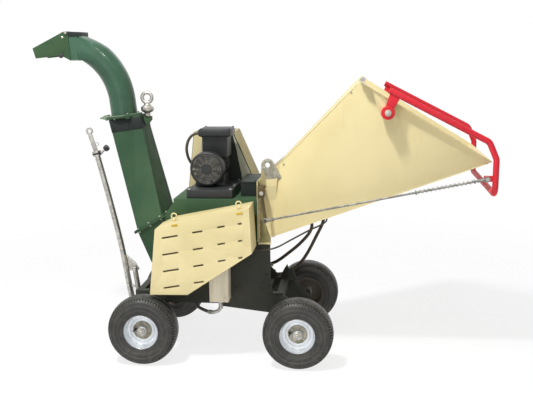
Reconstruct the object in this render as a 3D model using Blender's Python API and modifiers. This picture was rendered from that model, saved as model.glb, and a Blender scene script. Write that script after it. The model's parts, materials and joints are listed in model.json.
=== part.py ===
"""Electric garden shredder: a four-wheeled machine with a drum rotor, built in metres, +Z up.

+X points to the open end of the hopper, +Y away from the louvred guard.
The working frame has its origin on the ground, midway between the axles; the
finished machine is moved so that its origin is the bottom centre of its box.
"""
import math

import bmesh
import bpy
from mathutils import Matrix, Vector

# General sizes
GAP = 0.0003
SHEET = 0.003
PLATE = 0.008
MACHINE = "garden_shredder"

# Wheels and axles
WHEELBASE = 0.911
TRACK = 0.84
TYRE_RADIUS = 0.205
TYRE_WIDTH = 0.150
TYRE_WALL = 0.012
RIM_RADIUS = 0.1075
RIM_WIDTH = 0.126
RIM_SHEET = 0.005
RIM_LIP = 0.003
RIM_DISH = 0.014
RIM_DISC = 0.008
BEAD_RADIUS = 0.102
HUB_RADIUS = 0.026
HUB_OUT = 0.044
HUB_IN = 0.050
STUB_RADIUS = 0.0125
AXLE_RADIUS = 0.022
AXLE_NUT_RADIUS = 0.019
AXLE_NUT_LENGTH = 0.013
TYRE_STEPS = 20
RIM_STEPS = 16
FRONT_X = -WHEELBASE / 2
REAR_X = WHEELBASE / 2
WHEEL_Y = TRACK / 2

# Chassis and turntable
RAIL_INNER = 0.155
RAIL_OUTER = 0.195
RAIL_BOTTOM = 0.300
RAIL_TOP = 0.370
RAIL_FRONT = -0.560
RAIL_BACK = 0.350
SIDE_OUTER = 0.200
SIDE_SHEET = 0.010
TURNTABLE_RADIUS = 0.110
TURNTABLE_SHEET = 0.010
TURNTABLE_TOP = 0.290
KINGPIN_RADIUS = 0.015
KINGPIN_BOTTOM = 0.232
FORK_INNER = 0.022
FORK_SHEET = 0.010

# Rotor housing and what turns in it
HOUSING_HALF = 0.165
HOUSING_FLOOR = RAIL_TOP + GAP
HOUSING_BACK = 0.200
DECK_Z = 0.945
ROTOR_X = -0.120
ROTOR_Z = 0.620
DRUM_RADIUS = 0.145
DRUM_ROOM = 0.012
DRUM_HALF = HOUSING_HALF - PLATE - DRUM_ROOM
KNIFE_REACH = 0.005
KNIFE_DEPTH = 0.035
KNIFE_THICK = 0.010
KNIFE_SHORT = 0.001
KNIFE_HALF = DRUM_HALF - KNIFE_SHORT
SHAFT_RADIUS = 0.025
BEARING_RADIUS = 0.050
BEARING_WIDTH = 0.030
LOWER_ROLLER = (0.130, 0.655)
LOWER_ROLLER_RADIUS = 0.045
UPPER_ROLLER = (0.125, 0.800)
UPPER_ROLLER_RADIUS = 0.070
ROLLER_ROOM = 0.011
ROLLER_HALF = HOUSING_HALF - PLATE - ROLLER_ROOM
ROLLER_SHAFT = 0.012
ARM_PIVOT = (0.000, 0.905)
ARM_SHEET = 0.005
FEED_LOW = 0.722
FEED_HIGH = 0.920

# Discharge tower and chute
OUTLET_LEFT = (-0.540, 0.735)
OUTLET_RIGHT = (-0.385, 0.8255)
OUTLET_HALF = 0.160
TOWER_TOP_LEFT = -0.712
TOWER_TOP_RIGHT = -0.520
TOWER_TOP_HALF = 0.086
TOWER_SHEET = 0.004
SWIVEL = (-0.636, 1.4235)
SWIVEL_TILT = math.radians(6.0)
TOWER_FLANGE_RADIUS = 0.114
CHUTE_FLANGE_RADIUS = 0.106
CHUTE_RADIUS = 0.080
CHUTE_STRAIGHT = 0.100
CHUTE_BEND_RADIUS = 0.400
CHUTE_BEND = math.radians(58.0)
OUTLET_BOX_LEFT = -0.936
OUTLET_BOX_LENGTH = 0.096
OUTLET_BOX_LOW = 1.764
OUTLET_BOX_HIGH = 1.911
OUTLET_BOX_HALF = 0.088
DEFLECTOR_HINGE = (-0.948, 1.925)
DEFLECTOR_REACH = 0.212
EYEBOLT_X = -0.492
EYEBOLT_RING = 0.030
EYEBOLT_WIRE = 0.010

# Motor and belt drive
MOTOR_X = -0.105
MOTOR_Z = 1.115
MOTOR_RADIUS = 0.095
MOTOR_BACK = -0.100
MOTOR_BORE = 0.0615
MOTOR_SHAFT = 0.0142
COWL_RADIUS = 0.103
COWL_FRONT = -0.155
GUARD_DEPTH = 0.235
MOTOR_PULLEY = 0.070
ROTOR_PULLEY = 0.130
GROOVE = 0.008
PULLEY_Y = 0.275
PULLEY_WIDTH = 0.050
BELT_THICK = 0.009

# Feed housing and hopper
FEED_HALF = 0.205
FEED_SHEET = 0.005
FLANGE_HALF = 0.245
THROAT_LOW = (0.2777, 0.718)
THROAT_HIGH = (0.335, 1.155)
HOPPER_APEX = (0.800, 1.634)
HOPPER_TIP = (1.506, 1.195)
HOPPER_HALF = 0.400
HOPPER_SHEET = 0.004
LIP_AT_APEX = 0.040
LIP_AT_TIP = 0.015
LUG_CENTRE = (0.268, 1.150)
LUG_RADIUS = 0.036
LUG_HOLE = 0.015

# Control bar, rod and lever
BAR_PIVOT = (0.949, 1.467)
BAR_ROOM = 0.045
BAR_Y = HOPPER_HALF + BAR_ROOM
BAR_TUBE = 0.0168
BAR_PIN = 0.012
BAR_BOSS = 0.037
ROD_END = (1.478, 1.112)
ROD_EYE_OUT = 0.018
ROD_END_Y = -(BAR_Y + ROD_EYE_OUT)
ROD_RADIUS = 0.006
LEVER_END = (0.259, 0.836)
LEVER_PIVOT = (0.238, 0.995)
LEVER_PIN = 0.005
LEVER_SLACK = 0.0025
SPRING_CURLS = 13
SPRING_RADIUS = 0.0105
SPRING_WIRE = 0.0015
SPRING_FROM = 0.070
SPRING_LENGTH = 0.310
COLLAR_THICK = 0.006
STOP_RADIUS = 0.013

# Side guard
GUARD_FRONT = -0.450
GUARD_BACK = -0.250
SLOT_HEIGHT = 0.010
SLOT_TILT = math.radians(10.0)

# Drawbar
DRAWBAR_PIVOT = (-0.632, 0.215)
DRAWBAR_RADIUS = 0.018
DRAWBAR_PIN = 0.010
EYE_CENTRE = (-0.866, 1.329)
EYE_RADIUS = 0.025
EYE_HOLE = 0.0115
COLLAR_RADIUS = 0.027
COLLAR_LENGTH = 0.030


def clear_scene():
    for thing in list(bpy.data.objects):
        bpy.data.objects.remove(thing, do_unlink=True)


def new_collection(name):
    collection = bpy.data.collections.new(name)
    bpy.context.scene.collection.children.link(collection)
    return collection


def paint(name, colour, roughness, metallic=0.0):
    material = bpy.data.materials.new(name)
    material.use_nodes = True
    shader = material.node_tree.nodes["Principled BSDF"]
    shader.inputs["Base Color"].default_value = (*colour, 1.0)
    shader.inputs["Roughness"].default_value = roughness
    shader.inputs["Metallic"].default_value = metallic
    return material


clear_scene()
PARTS = new_collection(MACHINE)
CUTTERS = new_collection("cutters")
ROOT = bpy.data.objects.new("machine_origin", None)
PARTS.objects.link(ROOT)

CREAM = paint("cream_paint", (0.75, 0.66, 0.38), 0.45)
GREEN = paint("green_paint", (0.05, 0.13, 0.07), 0.45)
RED = paint("red_paint", (0.75, 0.03, 0.05), 0.40)
FRAME_PAINT = paint("frame_paint", (0.05, 0.05, 0.04), 0.55)
BLACK_PAINT = paint("motor_paint", (0.02, 0.02, 0.02), 0.50)
ZINC = paint("zinc_plate", (0.60, 0.58, 0.54), 0.45, 1.0)
STEEL = paint("bright_steel", (0.55, 0.55, 0.55), 0.30, 1.0)
RUBBER = paint("tyre_rubber", (0.04, 0.04, 0.04), 0.85)
HOSE = paint("hose_rubber", (0.04, 0.035, 0.03), 0.70)
IRON = paint("cast_iron", (0.10, 0.10, 0.10), 0.60, 0.6)
PLASTIC = paint("black_plastic", (0.03, 0.03, 0.03), 0.50)
BUTTON_GREEN = paint("button_green", (0.03, 0.35, 0.08), 0.40)
BUTTON_RED = paint("button_red", (0.65, 0.02, 0.02), 0.40)


def own(thing, material):
    """Keep a piece: give it its paint, smooth its round sides and hang it on the machine."""
    thing.data.materials.clear()
    thing.data.materials.append(material)
    thing.data.shade_smooth()
    thing.data.set_sharp_from_angle(angle=math.radians(35.0))
    thing.parent = ROOT
    return thing


def hide(tool):
    """Turn a helper shape into a cutter that is not part of the machine."""
    for collection in list(tool.users_collection):
        collection.objects.unlink(tool)
    CUTTERS.objects.link(tool)
    tool.parent = ROOT
    tool.hide_render = True
    tool.display_type = 'WIRE'
    return tool


def combine(thing, tool, operation):
    modifier = thing.modifiers.new(tool.name, 'BOOLEAN')
    modifier.operation = operation
    modifier.solver = 'EXACT'
    modifier.object = hide(tool)
    return thing


def join(thing, *tools):
    for tool in tools:
        combine(thing, tool, 'UNION')
    return thing


def cut(thing, *tools):
    for tool in tools:
        combine(thing, tool, 'DIFFERENCE')
    return thing


def object_from(name, mesh):
    thing = bpy.data.objects.new(name, mesh)
    PARTS.objects.link(thing)
    return thing


def mesh_from(name, bm):
    bmesh.ops.recalc_face_normals(bm, faces=bm.faces)
    mesh = bpy.data.meshes.new(name)
    bm.to_mesh(mesh)
    bm.free()
    return object_from(name, mesh)


def as_mesh(thing):
    """Replace a curve by its welded mesh, so that it can be cut or joined."""
    bpy.context.view_layer.update()
    evaluated = thing.evaluated_get(bpy.context.evaluated_depsgraph_get())
    mesh = bpy.data.meshes.new_from_object(evaluated)
    mesh.transform(thing.matrix_world)
    bm = bmesh.new()
    bm.from_mesh(mesh)
    bmesh.ops.remove_doubles(bm, verts=bm.verts, dist=0.00001)
    bmesh.ops.recalc_face_normals(bm, faces=bm.faces)
    bm.to_mesh(mesh)
    bm.free()
    name = thing.name
    bpy.data.objects.remove(thing, do_unlink=True)
    return object_from(name, mesh)


def set_origin(thing, point):
    """Move a piece's origin onto its joint without moving the piece."""
    thing.data.transform(Matrix.Translation(-Vector(point)))
    thing.location = point
    return thing


def box(name, low, high):
    bm = bmesh.new()
    bmesh.ops.create_cube(bm, size=1.0)
    size = Vector(high) - Vector(low)
    centre = (Vector(high) + Vector(low)) / 2
    bmesh.ops.scale(bm, vec=size, verts=bm.verts)
    bmesh.ops.translate(bm, vec=centre, verts=bm.verts)
    return mesh_from(name, bm)


def rod(name, start, end, radius, steps=12):
    """A round bar between two points."""
    start = Vector(start)
    line = Vector(end) - start
    turn = line.to_track_quat('Z', 'Y').to_matrix().to_4x4()
    place = Matrix.Translation(start + line / 2) @ turn
    bm = bmesh.new()
    bmesh.ops.create_cone(bm, cap_ends=True, segments=steps, radius1=radius, radius2=radius,
                          depth=line.length, matrix=place)
    return mesh_from(name, bm)


def across(name, place, y_from, y_to, radius, steps=12):
    """A round bar along Y at an (x, z) place."""
    x, z = place
    return rod(name, (x, y_from, z), (x, y_to, z), radius, steps)


def circle(centre, radius, count, start=0.0):
    x, z = centre
    angles = [start + 2 * math.pi * i / count for i in range(count)]
    return [(x + radius * math.cos(a), z + radius * math.sin(a)) for a in angles]


def prism(name, outline, y_from, y_to, holes=()):
    """A flat XZ outline, thickened along Y."""
    curve = bpy.data.curves.new(name, 'CURVE')
    curve.dimensions = '2D'
    curve.fill_mode = 'BOTH'
    curve.extrude = abs(y_to - y_from) / 2
    for loop in (outline, *holes):
        spline = curve.splines.new('POLY')
        spline.points.add(len(loop) - 1)
        for point, (x, z) in zip(spline.points, loop):
            point.co = (x, z, 0.0, 1.0)
        spline.use_cyclic_u = True
    thing = object_from(name, curve)
    thing.rotation_euler = (math.pi / 2, 0.0, 0.0)
    thing.location = (0.0, (y_from + y_to) / 2, 0.0)
    return as_mesh(thing)


def around(radius, steps=12):
    """Corner radius of a faceted bore that clears a round bar all the way round."""
    return (radius + GAP) / math.cos(math.pi / steps)


def inset(outline, depths):
    """Move each edge of an anticlockwise outline inwards by its own depth."""
    lines = []
    count = len(outline)
    for i, depth in enumerate(depths):
        start = Vector(outline[i])
        along = (Vector(outline[(i + 1) % count]) - start).normalized()
        inward = Vector((-along.y, along.x))
        lines.append((start + inward * depth, along))
    corners = []
    for i in range(count):
        before, first = lines[i - 1]
        after, second = lines[i]
        turn = first.x * second.y - first.y * second.x
        offset = after - before
        reach = (offset.x * second.y - offset.y * second.x) / turn
        corners.append(tuple(before + first * reach))
    return corners


def turned(name, profile, origin, axis='Y', steps=24):
    """A profile of (radius, distance along the axis) turned round; closed unless it meets the axis."""
    closed = profile[0][0] > 0.0
    area = sum(a[0] * b[1] - b[0] * a[1] for a, b in zip(profile, profile[1:] + profile[:1]))
    points = profile[::-1] if area > 0.0 else profile
    mesh = bpy.data.meshes.new(name)
    count = len(points)
    edges = [(i, (i + 1) % count) for i in range(count if closed else count - 1)]
    mesh.from_pydata([(r, 0.0, h) for r, h in points], edges, [])
    thing = object_from(name, mesh)
    screw = thing.modifiers.new("turn", 'SCREW')
    screw.axis = 'Z'
    screw.steps = steps
    screw.render_steps = steps
    screw.use_merge_vertices = True
    screw.merge_threshold = 0.00001
    thing.location = origin
    if axis == 'Y':
        thing.rotation_euler = (-math.pi / 2, 0.0, 0.0)
    return thing


def rounded(points, radius, steps=4):
    """A route whose corners are rounded by arcs."""
    points = [Vector(p) for p in points]
    route = [points[0]]
    for before, corner, after in zip(points, points[1:], points[2:]):
        back = (before - corner).normalized()
        ahead = (after - corner).normalized()
        half = back.angle(ahead) / 2
        reach = radius / math.tan(half)
        centre = corner + (back + ahead).normalized() * (radius / math.sin(half))
        first = corner + back * reach - centre
        last = corner + ahead * reach - centre
        for i in range(steps + 1):
            route.append(centre + first.slerp(last, i / steps).normalized() * radius)
    route.append(points[-1])
    return route


def smooth(points, step):
    """A smooth curve through hand-set points, read off at about equal steps."""
    points = [Vector(p) for p in points]
    padded = [2 * points[0] - points[1], *points, 2 * points[-1] - points[-2]]
    route = [points[0]]
    for a, b, c, d in zip(padded, padded[1:], padded[2:], padded[3:]):
        count = max(1, round((c - b).length / step))
        for i in range(1, count + 1):
            t = i / count
            route.append(0.5 * (2 * b + (c - a) * t + (2 * a - 5 * b + 4 * c - d) * t * t
                                + (3 * b - 3 * c + d - a) * t * t * t))
    return route


def tube(name, route, radius, resolution=2):
    """A round tube along a route of points."""
    curve = bpy.data.curves.new(name, 'CURVE')
    curve.dimensions = '3D'
    curve.bevel_depth = radius
    curve.bevel_resolution = resolution
    curve.use_fill_caps = True
    spline = curve.splines.new('POLY')
    spline.points.add(len(route) - 1)
    for point, place in zip(spline.points, route):
        point.co = (*place, 1.0)
    return as_mesh(object_from(name, curve))


def make_wheel(name, x, y, outward):
    """A hollow tyre on a dished rim; outward is the side, -1 or 1, of the dish's open face."""
    facet = math.cos(math.pi / TYRE_STEPS)
    top = TYRE_RADIUS / facet
    half = TYRE_WIDTH / 2
    edge = RIM_WIDTH / 2
    bead = edge - 0.0055
    shoulder = RIM_RADIUS + 0.002
    inside = half - TYRE_WALL
    tread = half - 0.045
    outer = [(BEAD_RADIUS, bead), (shoulder, bead), (0.125, half - 0.004), (0.165, half),
             (top - 0.014, half - 0.010), (top, tread)]
    inner = [(top - TYRE_WALL, tread), (0.160, inside), (BEAD_RADIUS, bead - TYRE_WALL)]
    profile = [(r, -h) for r, h in outer] + [(r, h) for r, h in reversed(outer)]
    profile += [(r, h) for r, h in reversed(inner)] + [(r, -h) for r, h in inner]
    tyre = turned("tyre_" + name, profile, (x, y, TYRE_RADIUS), steps=TYRE_STEPS)
    tyre.rotation_euler.rotate_axis('Z', math.pi / TYRE_STEPS)
    own(tyre, RUBBER)

    seat = BEAD_RADIUS * facet - GAP
    barrel = seat - RIM_SHEET
    bore = around(STUB_RADIUS, RIM_STEPS)
    lip = edge - RIM_LIP
    disc = RIM_DISH - RIM_DISC
    shape = [(RIM_RADIUS, -edge), (RIM_RADIUS, -lip), (seat, -lip), (seat, lip), (RIM_RADIUS, lip),
             (RIM_RADIUS, edge), (barrel, edge), (barrel, RIM_DISH - 0.002), (HUB_RADIUS + 0.004, RIM_DISH),
             (HUB_RADIUS, HUB_OUT), (bore, HUB_OUT), (bore, -HUB_IN), (HUB_RADIUS, -HUB_IN),
             (HUB_RADIUS + 0.004, disc), (barrel, disc - 0.002), (barrel, -edge)]
    rim = turned("rim_" + name, [(r, h * outward) for r, h in shape], (x, y, TYRE_RADIUS), steps=RIM_STEPS)
    own(rim, ZINC)


def axle_profile():
    """Half of an axle from its middle to its nut, mirrored into a whole."""
    shoulder = WHEEL_Y - HUB_IN - GAP
    nut = WHEEL_Y + HUB_OUT + GAP
    half = [(0.0, nut + AXLE_NUT_LENGTH), (AXLE_NUT_RADIUS, nut + AXLE_NUT_LENGTH), (AXLE_NUT_RADIUS, nut),
            (STUB_RADIUS, nut), (STUB_RADIUS, shoulder), (AXLE_RADIUS, shoulder)]
    return half + [(r, -h) for r, h in reversed(half)]


def make_axle(name, x):
    return turned(name, axle_profile(), (x, 0.0, TYRE_RADIUS), steps=12)


def make_chassis():
    frame = box("chassis_frame", (RAIL_FRONT, -RAIL_OUTER, RAIL_BOTTOM), (RAIL_BACK, -RAIL_INNER, RAIL_TOP))
    far_rail = box("far_rail", (RAIL_FRONT, RAIL_INNER, RAIL_BOTTOM), (RAIL_BACK, RAIL_OUTER, RAIL_TOP))
    join(frame, far_rail)
    for i, x in enumerate((RAIL_FRONT, HOUSING_BACK + 0.020, RAIL_BACK - 0.045)):
        member = box(f"cross_member_{i}", (x + 0.001, -RAIL_OUTER + 0.010, RAIL_BOTTOM + 0.004),
                     (x + 0.041, RAIL_OUTER - 0.010, RAIL_TOP - 0.006))
        join(frame, member)
    beam = [(-0.030, 0.285), (0.270, 0.250), (REAR_X - 0.020, 0.175), (REAR_X + 0.030, 0.175),
            (REAR_X + 0.045, 0.215), (REAR_X, 0.285), (0.360, 0.355), (0.290, 0.362)]
    near_panel = beam + [(0.275, 0.460), (0.275, 0.690), (0.150, 0.690), (0.000, 0.500), (-0.200, 0.500),
                         (-0.200, 0.356), (-0.030, 0.352)]
    far_panel = beam + [(0.275, 0.460), (0.275, 0.600), (0.085, 0.600), (0.085, 0.356), (-0.030, 0.352)]
    for name, outline, sign in (("near_side", near_panel, -1), ("far_side", far_panel, 1)):
        inner = sign * (SIDE_OUTER - SIDE_SHEET)
        join(frame, prism(name, outline, sign * SIDE_OUTER, inner))
    steps = [(0.290, 0.350), (0.400, 0.350), (0.372, 0.487), (0.352, 0.470), (0.340, 0.500), (0.322, 0.473)]
    join(frame, prism("stepped_bracket", steps, 0.158, 0.187))
    plate_x = TURNTABLE_RADIUS * 0.9
    join(frame, box("turntable_cross", (FRONT_X - plate_x, -RAIL_OUTER + 0.003, TURNTABLE_TOP - 0.002),
                    (FRONT_X + plate_x, RAIL_OUTER - 0.003, RAIL_BOTTOM + 0.006)))
    low = TURNTABLE_TOP - TURNTABLE_SHEET
    join(frame, rod("turntable_ring", (FRONT_X, 0, low), (FRONT_X, 0, TURNTABLE_TOP), TURNTABLE_RADIUS, 24))
    join(frame, rod("kingpin", (FRONT_X, 0, KINGPIN_BOTTOM), (FRONT_X, 0, low + 0.004), KINGPIN_RADIUS))
    join(frame, make_axle("rear_axle_tube", REAR_X))
    own(frame, FRAME_PAINT)


def make_front_axle():
    axle = make_axle("front_axle", FRONT_X)
    top = TURNTABLE_TOP - TURNTABLE_SHEET - GAP
    plate = rod("lower_ring", (FRONT_X, 0, top - TURNTABLE_SHEET), (FRONT_X, 0, top), TURNTABLE_RADIUS, 24)
    block = box("bolster", (FRONT_X - 0.032, -0.080, TYRE_RADIUS - 0.006),
                (FRONT_X + 0.032, 0.080, top - 0.004))
    join(axle, plate, block)
    pivot_x, pivot_z = DRAWBAR_PIVOT
    nose = pivot_x - 0.022
    for sign in (-1, 1):
        outline = [(FRONT_X, TYRE_RADIUS - 0.014), (FRONT_X, TYRE_RADIUS + 0.035),
                   (nose + 0.008, pivot_z + 0.020), (nose, pivot_z + 0.010), (nose, pivot_z - 0.012),
                   (nose + 0.008, pivot_z - 0.022)]
        ear = prism(f"fork_{sign}", outline, sign * FORK_INNER, sign * (FORK_INNER + FORK_SHEET))
        join(axle, ear)
    cut(axle, across("fork_hole", DRAWBAR_PIVOT, -0.05, 0.05, around(DRAWBAR_PIN)))
    cut(axle, rod("kingpin_bore", (FRONT_X, 0, KINGPIN_BOTTOM - 0.003), (FRONT_X, 0, top + 0.01),
                  around(KINGPIN_RADIUS)))
    own(axle, FRAME_PAINT)


def tube_line():
    """The drawbar's bent centre line, from its pivot to the collar."""
    px, pz = DRAWBAR_PIVOT
    return [(px, 0, pz), (-0.649, 0, 0.297), (-0.694, 0, 0.592), (-0.757, 0, 0.895), (-0.824, 0, 1.180),
            (-0.829, 0, 1.203)]


def make_drawbar():
    line = tube_line()
    bar = tube("drawbar", smooth(line, 0.09), DRAWBAR_RADIUS, 2)
    px, pz = DRAWBAR_PIVOT
    width = FORK_INNER + FORK_SHEET + 0.004
    join(bar, across("drawbar_pin", DRAWBAR_PIVOT, -width, width, DRAWBAR_PIN))
    gusset = [(-0.684, 0.548), (-0.665, 0.543), (-0.610, 0.495), (-0.585, 0.452), (-0.600, 0.440),
              (-0.660, 0.440)]
    join(bar, prism("stay_gusset", gusset, -0.005, 0.005))
    join(bar, rod("stay_tube", (-0.617, 0, 0.462), (-0.596, 0, 0.300), 0.016, 12))
    strap = [(-0.650, 0.330), (-0.600, 0.330), (-0.600, 0.350), (-0.652, 0.350)]
    join(bar, prism("stay_strap", strap, -0.006, 0.006))
    top = Vector(line[-1])
    lean = (top - Vector(line[-2])).normalized()
    join(bar, rod("clamp_collar", top - lean * COLLAR_LENGTH, top + lean * 0.002, COLLAR_RADIUS, 20))
    ex, ez = EYE_CENTRE
    tongue = [(ex - 0.012, ez), (top.x - 0.014, top.z - 0.004), (top.x + 0.014, top.z - 0.004),
              (ex + 0.012, ez)]
    join(bar, prism("tongue", tongue, -0.009, 0.009))
    join(bar, across("eye", EYE_CENTRE, -0.010, 0.010, EYE_RADIUS, 20))
    cut(bar, across("eye_hole", EYE_CENTRE, -0.03, 0.03, EYE_HOLE))
    set_origin(bar, (px, 0, pz))
    own(bar, ZINC)


def make_clamp_handle():
    line = tube_line()
    top = Vector(line[-1])
    lean = (top - Vector(line[-2])).normalized()
    out = Vector((lean.z, 0, -lean.x))
    root = top - lean * (COLLAR_LENGTH / 2) + out * (COLLAR_RADIUS + GAP)
    tip = root + out * 0.047
    handle = rod("clamp_handle", root, tip, 0.006, 12)
    along = Vector((0.5, 0, 0.87)).normalized() * 0.026
    join(handle, rod("grip", tip - along, tip + along, 0.014, 12))
    set_origin(handle, root)
    own(handle, PLASTIC)


def housing_outline():
    return [(-0.280, HOUSING_FLOOR), (0.120, HOUSING_FLOOR), (HOUSING_BACK, 0.450),
            (HOUSING_BACK, DECK_Z - GAP), (-0.290, DECK_Z - GAP), (-0.366, 0.8366), OUTLET_RIGHT,
            OUTLET_LEFT,
            (-0.462, 0.545), (-0.350, 0.410)]


def outlet_frame():
    """Unit vectors along and square to the slanted outlet."""
    along = (Vector(OUTLET_RIGHT) - Vector(OUTLET_LEFT)).normalized()
    return along, Vector((-along.y, along.x))


def outlet_plate(name, low, high, margin, half):
    along, up = outlet_frame()
    left = Vector(OUTLET_LEFT) - along * margin
    right = Vector(OUTLET_RIGHT) + along * margin
    outline = [tuple(left + up * low), tuple(right + up * low), tuple(right + up * high),
               tuple(left + up * high)]
    return prism(name, outline, -half, half)


def make_rotor_housing():
    outline = housing_outline()
    housing = prism("rotor_housing", outline, -HOUSING_HALF, HOUSING_HALF)
    join(housing, outlet_plate("outlet_flange", -PLATE, -0.00001, 0.018, OUTLET_HALF + 0.018))
    depths = [PLATE] * len(outline)
    depths[6] = -0.012
    inner = HOUSING_HALF - PLATE
    cut(housing, prism("housing_hollow", inset(outline, depths), -inner, inner))
    cut(housing, box("feed_mouth", (HOUSING_BACK - 0.02, -inner, FEED_LOW),
                     (HOUSING_BACK + 0.01, inner, FEED_HIGH)))
    centre = (ROTOR_X, ROTOR_Z)
    cut(housing, across("shaft_way", centre, -0.2, 0.2, SHAFT_RADIUS + 0.003, 20))
    cut(housing, across("roller_way", LOWER_ROLLER, -0.2, 0.2, around(ROLLER_SHAFT)))
    own(housing, GREEN)


def make_rotor():
    centre = (ROTOR_X, 0, ROTOR_Z)
    bore = around(SHAFT_RADIUS, 20)
    drum = turned("rotor_drum", [(DRUM_RADIUS, -DRUM_HALF), (DRUM_RADIUS, DRUM_HALF), (bore, DRUM_HALF),
                                 (bore, -DRUM_HALF)], centre, steps=28)
    tip = DRUM_RADIUS + KNIFE_REACH
    foot = tip - KNIFE_DEPTH
    half = KNIFE_THICK / 2
    for i, sign in enumerate((1, -1)):
        low, high = sorted((sign * (foot - GAP), sign * (tip + 0.02)))
        pocket = box(f"knife_pocket_{i}", (ROTOR_X - half - GAP, -DRUM_HALF - 0.01, ROTOR_Z + low),
                     (ROTOR_X + half + GAP, DRUM_HALF + 0.01, ROTOR_Z + high))
        cut(drum, pocket)
        low, high = sorted((sign * foot, sign * tip))
        knife = box(f"rotor_knife_{i + 1}", (ROTOR_X - half, -KNIFE_HALF, ROTOR_Z + low),
                    (ROTOR_X + half, KNIFE_HALF, ROTOR_Z + high))
        set_origin(knife, centre)
        own(knife, STEEL)
    own(drum, IRON)
    outer = PULLEY_Y + PULLEY_WIDTH + 0.005
    near = HOUSING_HALF + BEARING_WIDTH + 0.010
    shaft = turned("rotor_shaft", [(0.0, -near), (SHAFT_RADIUS, -near), (SHAFT_RADIUS, outer),
                                   (0.0, outer)],
                   centre)
    own(shaft, STEEL)
    for name, y in (("bearing_near", -HOUSING_HALF - GAP - BEARING_WIDTH),
                    ("bearing_far", HOUSING_HALF + GAP)):
        ring = turned(name, [(BEARING_RADIUS, y), (BEARING_RADIUS, y + BEARING_WIDTH),
                             (bore, y + BEARING_WIDTH),
                             (bore, y)], centre, steps=20)
        own(ring, IRON)
    anvil = box("anvil", (ROTOR_X + tip + 0.004, -HOUSING_HALF + PLATE + GAP, ROTOR_Z - 0.020),
                (ROTOR_X + tip + 0.030, HOUSING_HALF - PLATE - GAP, ROTOR_Z + 0.010))
    own(anvil, STEEL)


def roller_profile(radius, end):
    return [(0.0, -end), (ROLLER_SHAFT, -end), (ROLLER_SHAFT, -ROLLER_HALF), (radius, -ROLLER_HALF),
            (radius, ROLLER_HALF), (ROLLER_SHAFT, ROLLER_HALF), (ROLLER_SHAFT, end), (0.0, end)]


def add_teeth(roller, place, radius, count):
    """Square feed ribs along a roller."""
    x, z = place
    for i in range(count):
        angle = 2 * math.pi * (i + 0.5) / count
        rib = box(f"{roller.name}_rib_{i}", (radius - 0.010, -ROLLER_HALF + 0.004, -0.004),
                  (radius + 0.006, ROLLER_HALF - 0.004, 0.004))
        rib.data.transform(Matrix.Rotation(-angle, 4, 'Y'))
        rib.data.transform(Matrix.Translation((x, 0, z)))
        join(roller, rib)


def make_feed_rollers():
    low_x, low_z = LOWER_ROLLER
    lower = turned("lower_feed_roller", roller_profile(LOWER_ROLLER_RADIUS, HOUSING_HALF - 0.001),
                   (low_x, 0, low_z),
                   steps=16)
    add_teeth(lower, LOWER_ROLLER, LOWER_ROLLER_RADIUS, 6)
    own(lower, IRON)
    inner = HOUSING_HALF - PLATE
    up_x, up_z = UPPER_ROLLER
    upper = turned("upper_feed_roller", roller_profile(UPPER_ROLLER_RADIUS, inner - 0.0015),
                   (up_x, 0, up_z),
                   steps=16)
    add_teeth(upper, UPPER_ROLLER, UPPER_ROLLER_RADIUS, 8)
    own(upper, IRON)
    arm = across("roller_arm", ARM_PIVOT, GAP - inner, inner - GAP, 0.014, 16)
    pivot = Vector(ARM_PIVOT)
    centre = Vector(UPPER_ROLLER)
    along = (centre - pivot).normalized()
    side = Vector((-along.y, along.x)) * 0.018
    outline = [tuple(pivot - side), tuple(centre + along * 0.020 - side),
               tuple(centre + along * 0.020 + side),
               tuple(pivot + side)]
    for sign in (-1, 1):
        join(arm, prism(f"arm_plate_{sign}", outline, sign * (inner - 0.0025),
                        sign * (inner - 0.0025 - ARM_SHEET)))
    cut(arm, across("arm_hole", UPPER_ROLLER, -0.2, 0.2, around(ROLLER_SHAFT)))
    set_origin(arm, (pivot.x, 0, pivot.y))
    own(arm, FRAME_PAINT)
    motor = across("roller_motor", LOWER_ROLLER, HOUSING_HALF + GAP, HOUSING_HALF + 0.085, 0.038, 16)
    join(motor, box("motor_port_block", (low_x - 0.030, 0.225, low_z - 0.030),
                    (low_x + 0.044, 0.315, low_z + 0.050)))
    own(motor, IRON)


def make_deck():
    deck = box("deck_plate", (-0.290, GUARD_BACK, DECK_Z), (HOUSING_BACK + 0.005, HOUSING_HALF,
                                                            DECK_Z + PLATE))
    join(deck, box("near_skirt", (-0.290, GUARD_BACK, DECK_Z - 0.085),
                   (HOUSING_BACK + 0.005, GUARD_BACK + 0.004, DECK_Z + 0.004)))
    join(deck, box("left_skirt", (-0.290, GUARD_BACK, DECK_Z - 0.085),
                   (-0.286, -HOUSING_HALF - GAP, DECK_Z + 0.004)))
    join(deck, box("tensioner_box", (0.098, -0.150, DECK_Z + 0.004),
                   (0.196, HOUSING_HALF - 0.004, DECK_Z + 0.095)))
    own(deck, GREEN)


def loft(name, low, high):
    """A closed body between two four-cornered loops."""
    bm = bmesh.new()
    rings = [[bm.verts.new(p) for p in loop] for loop in (low, high)]
    bm.faces.new(rings[0])
    bm.faces.new(rings[1])
    for i in range(4):
        j = (i + 1) % 4
        bm.faces.new((rings[0][i], rings[0][j], rings[1][j], rings[1][i]))
    return mesh_from(name, bm)


def swivel_axis():
    return Vector((-math.sin(SWIVEL_TILT), 0, math.cos(SWIVEL_TILT)))


def swivel_point(distance):
    return Vector((SWIVEL[0], 0, SWIVEL[1])) + swivel_axis() * distance


def tower_ring(x_left, x_right, half, distance):
    """Four corners on the tilted swivel plane, raised by a distance."""
    corners = []
    for x, sign in ((x_left, -1), (x_right, -1), (x_right, 1), (x_left, 1)):
        z = SWIVEL[1] + distance + (x - SWIVEL[0]) * math.tan(SWIVEL_TILT)
        corners.append((x, sign * half, z))
    return corners


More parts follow.
